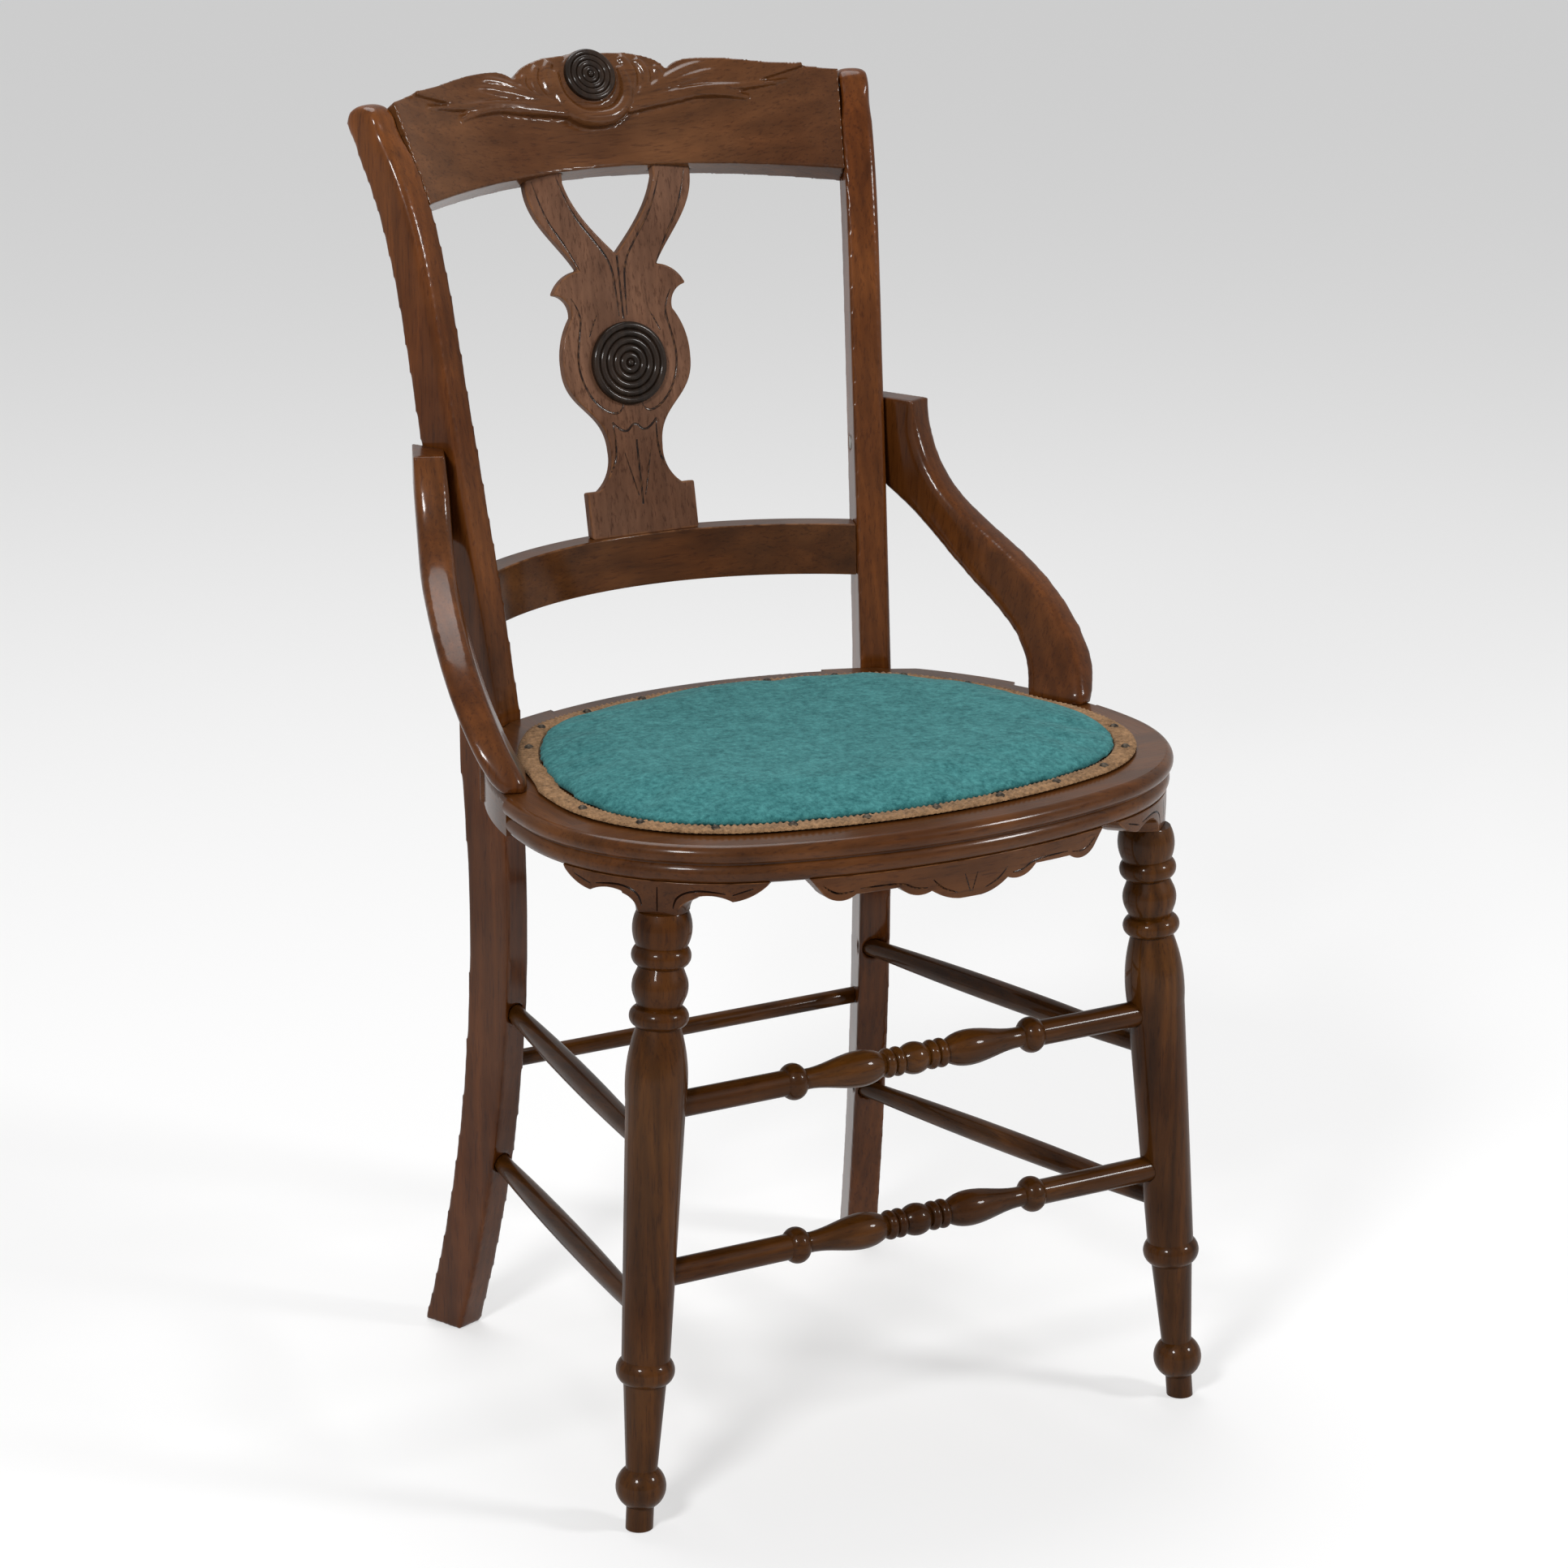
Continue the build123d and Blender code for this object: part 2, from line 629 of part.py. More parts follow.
def beyond_posts():
    # The plan outside both posts' inner faces
    near = post_place(-large, 0, 0)
    far = post_place(large, 0, 0)
    with BuildSketch() as plan:
        with BuildLine():
            Polyline((near.X, near.Y), (far.X, far.Y), (far.X + large, near.Y), close=True)
        make_face()
        mirror(about=Plane.YZ)
    return plan.sketch


def splat_face():
    # The splat's outline with its fork; the arms run straight where they are housed in the crest rail
    housed_top = splat_height + splat_housing
    top = splat_height - splat_housing
    throat = (splat_throat_half, splat_throat_height)
    arm_rise = top - splat_throat_height
    arm_reach = splat_arm_outer - splat_throat_half
    fork_rise = top - splat_fork_height
    base_notch = (splat_base_half - splat_notch, splat_base_height)
    with BuildSketch() as outline:
        with BuildLine():
            Polyline((0, 0), (splat_base_half, 0), (splat_base_half, splat_base_height), base_notch)
            hollow = (splat_waist_half + splat_notch * 0.4, splat_base_height + splat_notch)
            ThreePointArc(base_notch, hollow, (splat_waist_half, splat_waist_height))
            waist = (splat_waist_half, splat_waist_height)
            body = (splat_body_half, splat_body_height)
            Spline(waist, body, tangents=((0, 1), (0, 1)))
            neck = (splat_neck_half, splat_neck_height)
            body_mid = (splat_body_half - splat_swell, (body[1] + neck[1]) / 2 + splat_swell)
            ThreePointArc(body, body_mid, neck)
            ear = (splat_ear_half, splat_ear_height)
            ThreePointArc(neck, (splat_neck_half + splat_swell, (neck[1] + ear[1]) / 2 + splat_swell), ear)
            ear_mid = ((ear[0] + throat[0]) / 2 + splat_swell, (ear[1] + throat[1]) / 2 + splat_swell)
            ThreePointArc(ear, ear_mid, throat)
            arm_low = (throat[0] + arm_reach * 0.33, throat[1] + arm_rise * 0.26)
            arm_high = (throat[0] + arm_reach * 0.8, throat[1] + arm_rise * 0.62)
            Spline(throat, arm_low, arm_high, (splat_arm_outer, top))
            Polyline((splat_arm_outer, top), (splat_arm_outer, housed_top), (splat_arm_inner, housed_top))
            Line((splat_arm_inner, housed_top), (splat_arm_inner, top))
            fork_high = (splat_arm_inner * 0.76, splat_fork_height + fork_rise * 0.63)
            fork_low = (splat_arm_inner * 0.3, splat_fork_height + fork_rise * 0.22)
            Spline((splat_arm_inner, top), fork_high, fork_low, (0, splat_fork_height))
            Line((0, splat_fork_height), (0, 0))
        make_face()
        mirror(about=Plane.YZ)
    return outline.sketch


# The raised field that carries the crest's carving
with BuildPart() as crest_carving:
    depth = crest_thickness / 2
    add(bowed_board(post_x, crest_bow, crest_lean, crest_mid_y, crest_low_z, carving_relief, depth))
    with BuildSketch(crest_face):
        with BuildLine():
            field_low = crest_up(0, carving_low_height)
            field_dip = crest_up(crest_dip_x, carving_low_height + crest_arch)
            field_peak = crest_up(crest_peak_x, carving_low_height + 2 * crest_arch)
            tip = crest_up(carving_tip_x, crest_end_height)
            Spline(field_low, field_dip, field_peak, tip)
            Polyline(tip, (carving_tip_x, large), (0, large), field_low)
        make_face()
        mirror(about=Plane.YZ)
    extrude(amount=large, both=True, mode=Mode.INTERSECT)

# Crest rail, a bowed and leaning board cut to the scalloped outline
with BuildPart() as crest_rail:
    add(bowed_board(post_x, crest_bow, crest_lean, crest_mid_y, crest_low_z, 0, crest_thickness))
    add(crest_carving.part)
    with BuildSketch(crest_face):
        with BuildLine():
            top = crest_up(0, crest_crown_height)
            crown = crest_up(crest_crown_x, crest_crown_height - boss_rise)
            dip = crest_up(crest_dip_x, crest_dip_height)
            peak = crest_up(crest_peak_x, crest_peak_height)
            tip = crest_up(carving_tip_x, crest_end_height + boss_rise)
            Line(top, crown)
            Spline(crown, dip, tangents=((1, -0.3), (0.4, -1)))
            Spline(dip, peak, tip, tangents=((0.6, 1), (1, -0.25)))
            end = crest_up(seat_half_width, crest_end_height)
            Polyline(tip, end, (end[0], -large), (0, -large), top)
        make_face()
        mirror(about=Plane.YZ)
    extrude(amount=large, both=True, mode=Mode.INTERSECT)
    # The lower edge is one arc
    arch_top = crest_up(0, crest_arch)
    arch_rise = arch_top[1] - crest_up(post_x, 0)[1]
    arch_radius = (post_x**2 + arch_rise**2) / (2 * arch_rise)
    with BuildSketch(crest_face):
        with Locations((0, arch_top[1] - arch_radius)):
            Circle(arch_radius)
    extrude(amount=large, both=True, mode=Mode.SUBTRACT)
    # The ends lie on the posts' inner faces and carry tenons
    with BuildSketch(Plane.XY.offset(crest_low_z - large)):
        add(beyond_posts())
    extrude(amount=2 * large, mode=Mode.SUBTRACT)
    for plane, way in post_sides:
        with BuildSketch(plane):
            with Locations((crest_tenon_s, crest_low_z + crest_end_height / 2)):
                Rectangle(tenon_thickness, crest_tenon_height, rotation=-degrees(crest_tilt))
        extrude(amount=way * tenon_length)
    # Round boss under the rosette
    with BuildSketch(boss_plane.offset(-boss_root)):
        Circle(boss_r)
    extrude(amount=boss_root + boss_face)
    # Housings for the splat's arms
    with BuildSketch(splat_plane.offset(fit)):
        arm_middle = (splat_arm_outer + splat_arm_inner) / 2
        with Locations((arm_middle, splat_height), (-arm_middle, splat_height)):
            Rectangle(splat_arm_outer - splat_arm_inner + 2 * fit, 2 * (splat_housing + fit))
    extrude(amount=-splat_thickness - 2 * fit, mode=Mode.SUBTRACT)

# Lower back rail
with BuildPart() as lower_back_rail:
    rail_thickness = lower_rail_thickness
    add(bowed_board(lower_end.X, lower_rail_bow, lower_rail_lean, lower_mid_y, lower_rail_z, 0, rail_thickness))
    with BuildSketch(Plane.XY.offset(lower_rail_z)):
        Rectangle(large, 2 * large)
    extrude(amount=lower_rail_height, mode=Mode.INTERSECT)
    with BuildSketch(Plane.XY.offset(lower_rail_z - large)):
        add(beyond_posts())
    extrude(amount=2 * large, mode=Mode.SUBTRACT)
    for plane, way in post_sides:
        with BuildSketch(plane):
            with Locations((lower_tenon_s, lower_rail_z + lower_rail_height / 2)):
                Rectangle(tenon_thickness, lower_rail_height - 2 * tenon_shoulder)
        extrude(amount=way * tenon_length)
    # Mortise for the splat's foot
    with BuildSketch(splat_plane.offset(fit - splat_tenon_set)):
        Rectangle(2 * (splat_tenon_half + fit), 2 * (tenon_length + end_room))
    extrude(amount=-splat_tenon_thickness - 2 * fit, mode=Mode.SUBTRACT)

# Splat, cut level where it stands on the lower rail
with BuildPart() as back_splat:
    with BuildSketch(splat_plane):
        add(splat_face())
    extrude(amount=-splat_thickness)
    with BuildSketch(Plane.XY.offset(lower_top_z)):
        Rectangle(large, 2 * large)
    extrude(amount=-large, mode=Mode.SUBTRACT)
    with BuildSketch(splat_plane.offset(-splat_tenon_set)):
        Rectangle(2 * splat_tenon_half, 2 * tenon_length)
    extrude(amount=-splat_tenon_thickness)


def cap_middle(half, rise, low):
    # A point half way up the outline of a round cap of the given half width and rise
    radius = (half**2 + rise**2) / (2 * rise)
    turn = atan2(half, radius - rise) / 2
    return (radius * sin(turn), low + rise - radius + radius * cos(turn))


def turned_button(diameter, rise, rings):
    # A turned disc with concentric rings round a domed middle, standing on the plane z = 0
    step = diameter / (2 * rings + 1)
    rim = rise / 2
    with BuildPart() as button:
        with BuildSketch(Plane.XZ):
            with BuildLine():
                Polyline((0, 0), (diameter / 2, 0), (diameter / 2, rim))
                for ring in range(rings):
                    outer = diameter / 2 - ring * step
                    crest = rim + step * 0.38
                    ThreePointArc((outer, rim), (outer - step / 2, crest), (outer - step, rim))
                dome_r = diameter / 2 - rings * step
                ThreePointArc((dome_r, rim), cap_middle(dome_r, rise - rim, rim), (0, rise))
                Line((0, rise), (0, 0))
            make_face()
        revolve(axis=Axis.Z)
    return button.part


with BuildPart() as splat_roundel:
    add(splat_plane * Pos(0, splat_body_height, 0) * turned_button(roundel_d, roundel_rise, roundel_rings))

with BuildPart() as crest_rosette:
    add(boss_plane.offset(boss_face) * turned_button(rosette_d, rosette_rise, rosette_rings))

# Hip rest: the two sawn curves crossed, cut flat against the post's outer face
with BuildPart() as hip_rest_right:
    with BuildSketch(hip_cross_plane.offset(-hip_end_w)):
        with BuildLine():
            bend = hip_sweep_in * 0.08
            knuckle = (-hip_sweep_in * 0.3, (hip_bend_z * 2 + seat_top) / 3 - bend)
            ThreePointArc((-bend, hip_bend_z), knuckle, (-hip_sweep_in, seat_top))
            Line((-hip_sweep_in, seat_top), (hip_thickness - hip_sweep_in, seat_top))
            outer_knuckle = (knuckle[0] + hip_thickness, knuckle[1])
            outer_bend = (hip_thickness - bend, hip_bend_z)
            ThreePointArc((hip_thickness - hip_sweep_in, seat_top), outer_knuckle, outer_bend)
            Polyline(outer_bend, (hip_thickness, hip_top_z), (0, hip_top_z), (-bend, hip_bend_z))
        make_face()
    extrude(amount=hip_end_w + hip_foot_w + hip_thickness)
    with BuildSketch(hip_side_plane):
        with BuildLine():
            armpit_end = (-hip_end_w, hip_armpit_z + hip_thickness)
            Polyline(armpit_end, (-hip_end_w, hip_top_z), (0, hip_top_z))
            Spline(
                (0, hip_top_z),
                (hip_brow_w, hip_brow_z),
                (hip_elbow_w, hip_elbow_z),
                (hip_shin_w, hip_shin_z),
                (hip_foot_w, seat_top),
                tangents=((0.1, -1), (0.4, -1)),
            )
            Line((hip_foot_w, seat_top), (hip_heel_w, seat_top))
            Spline(
                (hip_heel_w, seat_top),
                (hip_calf_w, hip_calf_z),
                (hip_under_w, hip_under_z),
                (-hip_end_w * 0.28, hip_armpit_z),
                armpit_end,
            )
        make_face()
    extrude(amount=large, both=True, mode=Mode.INTERSECT)
    with BuildSketch(post_plane.offset(post_thickness)):
        with Locations((0, hip_top_z)):
            Rectangle(2 * large, large)
    extrude(amount=-large, mode=Mode.SUBTRACT)
    # Screw holes
    with BuildSketch(hip_post_screw.offset(post_thickness)):
        Circle(screw_d / 2 + fit)
    extrude(amount=screw_post_bite + end_room, mode=Mode.SUBTRACT)
    with BuildSketch(hip_foot_screw.offset(seat_thickness)):
        Circle(screw_d / 2 + fit)
    extrude(amount=screw_foot_bite + end_room, mode=Mode.SUBTRACT)

# Seat frame


def rail_arc(centre, radius, start, turn, moulded):
    # A length of rail, its section swept about a vertical axis
    with BuildPart() as rail:
        with BuildSketch(arc_plane(centre, start)):
            add(rail_section(radius, moulded))
        revolve(axis=Axis((centre[0], centre[1], 0), (0, 0, 1)), revolution_arc=turn)
    return rail.part


def seat_block(corner_x, corner_y, size_x, size_y):
    # A tall box over the seat frame, used to part the rails
    with BuildPart() as block:
        with Locations((corner_x, corner_y, seat_bottom - seat_thickness)):
            Box(size_x, size_y, 3 * seat_thickness, align=(Align.MIN, Align.MIN, Align.MIN))
    return block.part


def round_bars(places, diameter, back, ahead):
    # Round bars along each place's axis, from behind its origin to ahead of it
    with BuildPart() as bars:
        for place in places:
            with BuildSketch(place.offset(-back)):
                Circle(diameter / 2)
            extrude(amount=back + ahead)
    return bars.part


def across(places):
    # The places on the right together with their images on the left
    images = []
    for place in places:
        o = place.origin
        d = place.z_dir
        images.append(Plane(origin=(-o.X, o.Y, o.Z), z_dir=(-d.X, d.Y, d.Z)))
    return list(places) + images


dowel_reach = dowel_length / 2 + end_room
dowel_hole_d = dowel_d + 2 * fit
joint_y = feet_line_y + front_joint_depth
leg_places = across([leg_plane])

with BuildPart() as seat_front_rail:
    add(rail_arc(front_centre, seat_front_radius, 180 - front_turn, 180 + 2 * front_turn, True))
    add(rail_arc(corner_centre, corner_radius, front_turn, -front_turn, True))
    add(rail_arc((-corner_centre[0], corner_centre[1]), corner_radius, 180, -front_turn, True))
    add(seat_block(-large, joint_y, 2 * large, large), mode=Mode.SUBTRACT)
    tenon_top = (seat_bottom + leg_tenon_depth) * leg_stretch + end_room
    add(round_bars(leg_places, leg_tenon_d + 2 * fit, 0, tenon_top), mode=Mode.SUBTRACT)
    add(round_bars(across(front_dowels), dowel_hole_d, dowel_reach, 0), mode=Mode.SUBTRACT)

with BuildPart() as seat_side_rail_right:
    quarter = 90 - moulding_turn
    add(rail_arc(side_centre, side_radius, moulding_turn, quarter, False))
    with BuildSketch(Plane.XY.offset(seat_bottom)):
        with Locations(rear_centre):
            Circle(seat_rear_radius - lower_set_back)
    extrude(amount=seat_thickness, mode=Mode.INTERSECT)
    rear_start = degrees(atan2(sqrt(seat_rear_radius**2 - seat_half_width**2), seat_half_width))
    add(rail_arc(rear_centre, seat_rear_radius, rear_start, 90 - rear_start, False))
    # Room for the post, and the ends of the rear arc outside it
    with BuildSketch(post_plane.offset(-fit)):
        with Locations((post_seat_s, seat_bottom)):
            Rectangle(large, large, align=(Align.MIN, Align.CENTER))
    extrude(amount=large, mode=Mode.SUBTRACT)
    with BuildSketch(Plane.XY.offset(seat_bottom)):
        with Locations(side_centre):
            Circle(side_radius)
    extrude(amount=seat_thickness, mode=Mode.INTERSECT)
    add(rail_arc(side_centre, side_radius, 0, moulding_turn, True))
    add(rail_arc(corner_centre, corner_radius, front_turn, -front_turn, True))
    add(seat_block(0, joint_y - large, large, large), mode=Mode.SUBTRACT)
    add(seat_block(rear_joint_x - large, 0, large, large), mode=Mode.SUBTRACT)
    add(round_bars(front_dowels, dowel_hole_d, 0, dowel_reach), mode=Mode.SUBTRACT)
    add(round_bars(rear_dowels, dowel_hole_d, 0, dowel_reach), mode=Mode.SUBTRACT)
    add(round_bars(post_dowels, dowel_hole_d, dowel_reach, 0), mode=Mode.SUBTRACT)
    add(round_bars([hip_foot_screw], screw_d + 2 * fit, 0, seat_thickness), mode=Mode.SUBTRACT)
    add(round_bars([hip_foot_screw], screw_head_d + 2 * fit, 0, screw_head_height), mode=Mode.SUBTRACT)

with BuildPart() as seat_back_rail:
    rear_half = rear_joint_x / (seat_rear_radius - rail_width)
    rear_turn = 90 - degrees(atan2(rear_half, 1))
    add(rail_arc(rear_centre, seat_rear_radius, rear_turn, 180 - 2 * rear_turn, False))
    add(seat_block(rear_joint_x, -large, large, 3 * large), mode=Mode.SUBTRACT)
    add(seat_block(-rear_joint_x - large, -large, large, 3 * large), mode=Mode.SUBTRACT)
    add(round_bars(across(rear_dowels), dowel_hole_d, dowel_reach, 0), mode=Mode.SUBTRACT)

# Fan bracket: two wings that follow the seat's corner and a fan round the leg's top
with BuildPart() as leg_bracket_right:
    fan_axis = leg_place(leg_shoulder_z)
    fan_height = seat_bottom - leg_shoulder_z
    leg_turn = atan2(fan_axis.Y - corner_centre[1], fan_axis.X - corner_centre[0])
    bracket_r = corner_radius - bracket_inset
    with BuildSketch(Plane.XY.offset(leg_shoulder_z)):
        with Locations(corner_centre):
            Circle(bracket_r)
            Circle(bracket_r - bracket_thickness, mode=Mode.SUBTRACT)
    extrude(amount=fan_height)
    wing_plane = Plane(
        origin=(fan_axis.X, fan_axis.Y, seat_bottom),
        x_dir=(-sin(leg_turn), cos(leg_turn), 0),
        z_dir=(cos(leg_turn), sin(leg_turn), 0),
    )
    with BuildSketch(wing_plane):
        with BuildLine():
            Polyline((0, -fan_flare_height), (0, 0), (wing_length, 0))
            ThreePointArc((wing_length, 0), (wing_knee_x, -wing_knee_drop), (wing_tip, -wing_drop))
            hollow = (wing_hollow_x, -wing_hollow_drop)
            wing_root = (fan_low_r, -fan_flare_height)
            ThreePointArc((wing_tip, -wing_drop), hollow, wing_root)
            Line(wing_root, (0, -fan_flare_height))
        make_face()
        mirror(about=Plane.YZ)
    extrude(amount=wing_length, both=True, mode=Mode.INTERSECT)
    with BuildSketch(Plane(origin=fan_axis, x_dir=(1, 0, 0), z_dir=(0, -1, 0))):
        with BuildLine():
            Polyline((0, fan_height), (0, 0), (fan_low_r, 0))
            flare_mid = (fan_low_r + (fan_high_r - fan_low_r) * 0.3, fan_flare_height * 0.65)
            ThreePointArc((fan_low_r, 0), flare_mid, (fan_high_r, fan_flare_height))
            Polyline((fan_high_r, fan_flare_height), (fan_high_r, fan_height), (0, fan_height))
        make_face()
    revolve(axis=Axis(fan_axis, (0, 0, 1)))
    with BuildSketch(Plane.XY.offset(leg_shoulder_z)):
        with Locations(corner_centre):
            Circle(bracket_r)
    extrude(amount=fan_height, mode=Mode.INTERSECT)
    add(round_bars([leg_plane], leg_tenon_d + 2 * fit, 0, seat_top * leg_stretch), mode=Mode.SUBTRACT)

# Apron: a bent strip under the front rail with a scalloped lower edge
with BuildPart() as seat_apron:
    with BuildSketch(Plane.XY.offset(seat_bottom)):
        with Locations(front_centre):
            Circle(seat_front_radius - apron_inset)
            Circle(seat_front_radius - apron_inset - apron_thickness, mode=Mode.SUBTRACT)
    extrude(amount=-apron_drop)
    apron_plane = Plane(origin=(apron_offset, seat_front_y, seat_bottom), x_dir=(1, 0, 0), z_dir=(0, -1, 0))
    with BuildSketch(apron_plane):
        with BuildLine():
            notch = (apron_lobe_half, -apron_notch_drop)
            step = (apron_step_x, -apron_step_drop)
            run_end = (apron_run_x, -apron_run_drop)
            tail = (apron_tail_x, -apron_tail_drop)
            Line((0, 0), (0, -apron_drop))
            ThreePointArc((0, -apron_drop), (apron_lobe_round, -apron_lobe_drop), notch)
            ThreePointArc(notch, (apron_curl_x, -apron_curl_drop), step)
            Line(step, run_end)
            ThreePointArc(run_end, (apron_end_x, -apron_end_drop), tail)
            Polyline(tail, (apron_half_length, 0), (0, 0))
        make_face()
        mirror(about=Plane.YZ)
    extrude(amount=-seat_overhang, mode=Mode.INTERSECT)

# Stretchers


def front_stretcher(z):
    # A turned rod between the front legs: a bulb and knops in the middle, a vase and a bead each side
    end = leg_place(z)
    half = end.X - socket_start
    neck = front_neck_d / 2
    bulb_half = front_knop_width * 1.3
    vase_start = bulb_half + 2 * front_knop_width
    bead_start = front_bead_x - front_bead_width / 2
    bead_end = front_bead_x + front_bead_width / 2
    knop = neck + front_knop_width * 0.4
    with BuildPart() as rod:
        with BuildSketch(Plane(origin=(0, end.Y, z), x_dir=(1, 0, 0), z_dir=(0, -1, 0))):
            with BuildLine():
                ThreePointArc((-bulb_half, neck), (0, front_bulb_d / 2), (bulb_half, neck))
                for side in (-1, 1):
                    for start in (bulb_half, bulb_half + front_knop_width):
                        stop = start + front_knop_width
                        middle = side * (start + stop) / 2
                        ThreePointArc((side * start, neck), (middle, knop), (side * stop, neck))
                    vase_top = vase_start + front_bead_width
                    vase_waist = (vase_top + bead_start) / 2
                    Spline(
                        (side * vase_start, neck),
                        (side * vase_top, front_vase_d / 2),
                        (side * vase_waist, (front_vase_d / 2 + neck) / 2),
                        (side * bead_start, neck),
                    )
                    bead_low = (side * bead_end, front_stretcher_d / 2 - fit)
                    bead_top = (side * front_bead_x, front_bead_d / 2)
                    ThreePointArc((side * bead_start, neck), bead_top, bead_low)
                    Polyline(bead_low, (side * half, front_stretcher_d / 2), (side * half, 0))
                Line((-half, 0), (half, 0))
            make_face()
        revolve(axis=Axis((0, end.Y, z), (1, 0, 0)))
    return rod.part


def side_stretcher(rod):
    # A plain rod, fuller in the middle, from a front leg to a rear post
    start, end = rod
    way = (end - start).normalized()
    across_way = Vector(0, 0, 1).cross(way).normalized()
    length = (end - start).length
    low = leg_shaft_d / 2
    high = length - socket_depth
    with BuildPart() as bar:
        with BuildSketch(Plane(origin=start, x_dir=across_way, z_dir=across_way.cross(way))):
            with BuildLine():
                Polyline((0, socket_start), (side_end_d / 2, socket_start), (side_end_d / 2, low))
                ThreePointArc((side_end_d / 2, low), (side_stretcher_d / 2, length / 2), (side_end_d / 2, high))
                last = length + socket_depth
                Polyline((side_end_d / 2, high), (side_end_d / 2, last), (0, last), (0, socket_start))
            make_face()
        revolve(axis=Axis(start, way))
    return bar.part


with BuildPart() as front_stretcher_upper:
    add(front_stretcher(front_high_z))

with BuildPart() as front_stretcher_lower:
    add(front_stretcher(front_low_z))

with BuildPart() as side_stretcher_upper_right:
    add(side_stretcher(side_rods["high"]))

with BuildPart() as side_stretcher_lower_right:
    add(side_stretcher(side_rods["low"]))

with BuildPart() as rear_stretcher:
    rear_middle = Plane(origin=(0, rear_end.Y, rear_stretcher_z), z_dir=(1, 0, 0))
    add(round_bars([rear_middle], rear_stretcher_d, seat_half_width, seat_half_width))
    with BuildSketch(Plane.XY):
        add(beyond_posts())
    extrude(amount=large, mode=Mode.SUBTRACT)
    rear_reach = rear_end.X + tenon_length
    add(round_bars([rear_middle], rear_tenon_d, rear_reach, rear_reach))

# Upholstery: a panel in the frame's rebate, crowned stuffing, its cover, a gimp and tack heads
with BuildPart() as seat_panel:
    with BuildSketch(Plane.XY.offset(seat_top - rebate_depth)):
        add(seat_face(rail_width - rebate_width + panel_room))
    extrude(amount=rebate_depth)


def crown(shell):
    # A low dome over the seat's plan, drawn in a little at its foot; the shell lies inside the outer skin
    steps = ((0.01, 0.0), (0.0, 0.3), (0.015, 0.5), (0.07, 0.68), (0.22, 0.84), (0.55, 0.96), (1.0, 1.0))
    with BuildPart() as dome:
        for inward, rise in steps:
            inset = cover_inset + shell + inward * (crown_inset - cover_inset)
            with BuildSketch(Plane.XY.offset(seat_top + rise * (crown_height - shell))):
                add(seat_face(inset))
        loft(ruled=True)
    return dome.part


def hip_feet(room):
    # Where the hip rests stand on the seat, with room round them
    near = -hip_sweep_in - room
    far = hip_thickness - hip_sweep_in + room
    corners = []
    for w, out in ((hip_heel_w, near), (hip_foot_w, near), (hip_foot_w, far), (hip_heel_w, far)):
        reach = w + room if w == hip_foot_w else w - room
        corner = hip_origin + hip_way * reach + hip_out * out
        corners.append((corner.X, corner.Y))
    with BuildSketch() as plan:
        with BuildLine():
            Polyline(*corners, close=True)
        make_face()
        mirror(about=Plane.YZ)
    return plan.sketch


def seat_band(outer, inner, low, thickness):
    # A flat band round the seat between two insets, notched round the hip rests
    with BuildPart() as band:
        with BuildSketch(Plane.XY.offset(low)):
            add(seat_face(outer))
            add(seat_face(inner), mode=Mode.SUBTRACT)
            add(hip_feet(hip_notch), mode=Mode.SUBTRACT)
        extrude(amount=thickness)
    return band.part


with BuildPart() as seat_pad:
    add(crown(cover_thickness + soft_gap))

with BuildPart() as seat_cover:
    add(crown(0))
    add(seat_band(gimp_inset + end_room, cover_inset + cover_thickness, seat_top, cover_thickness))
    add(crown(cover_thickness), mode=Mode.SUBTRACT)

gimp_low = seat_top + cover_thickness
with BuildPart() as seat_gimp:
    add(seat_band(gimp_inset, gimp_inset + gimp_width, gimp_low, gimp_thickness))

with BuildPart() as tack_head:
    with BuildSketch(Plane.XZ):
        with BuildLine():
            Polyline((0, tack_head_rise), (0, 0), (tack_head_d / 2, 0))
            cap = cap_middle(tack_head_d / 2, tack_head_rise, 0)
            ThreePointArc((tack_head_d / 2, 0), cap, (0, tack_head_rise))
        make_face()
    revolve(axis=Axis.Z)

with BuildPart() as gimp_tacks:
    tack_line = seat_face(gimp_inset + gimp_width / 2).faces()[0].outer_wire()
    for tack in range(tack_count):
        place = tack_line.position_at((tack + 0.5) / tack_count)
        foot_away = hypot(abs(place.X) - foot_middle.X, place.Y - foot_middle.Y)
        if foot_away > hip_foot_w - hip_heel_w:
            add(Pos(place.X, place.Y, gimp_low + gimp_thickness) * tack_head.part)

# Dowels in the seat frame's joints and between the frame and the posts
with BuildPart() as rail_dowels:
    add(round_bars(across(front_dowels) + across(rear_dowels), dowel_d, dowel_length / 2, dowel_length / 2))

with BuildPart() as seat_post_dowels:
    add(round_bars(across(post_dowels), dowel_d, dowel_length / 2, dowel_length / 2))

# Countersunk screws that hold the hip rests
with BuildPart() as hip_rest_screws:
    add(round_bars(across([hip_post_screw, hip_foot_screw]), screw_head_d, 0, screw_head_height))
    add(round_bars(across([hip_post_screw]), screw_d, 0, post_thickness + screw_post_bite))
    add(round_bars(across([hip_foot_screw]), screw_d, 0, seat_thickness + screw_foot_bite))

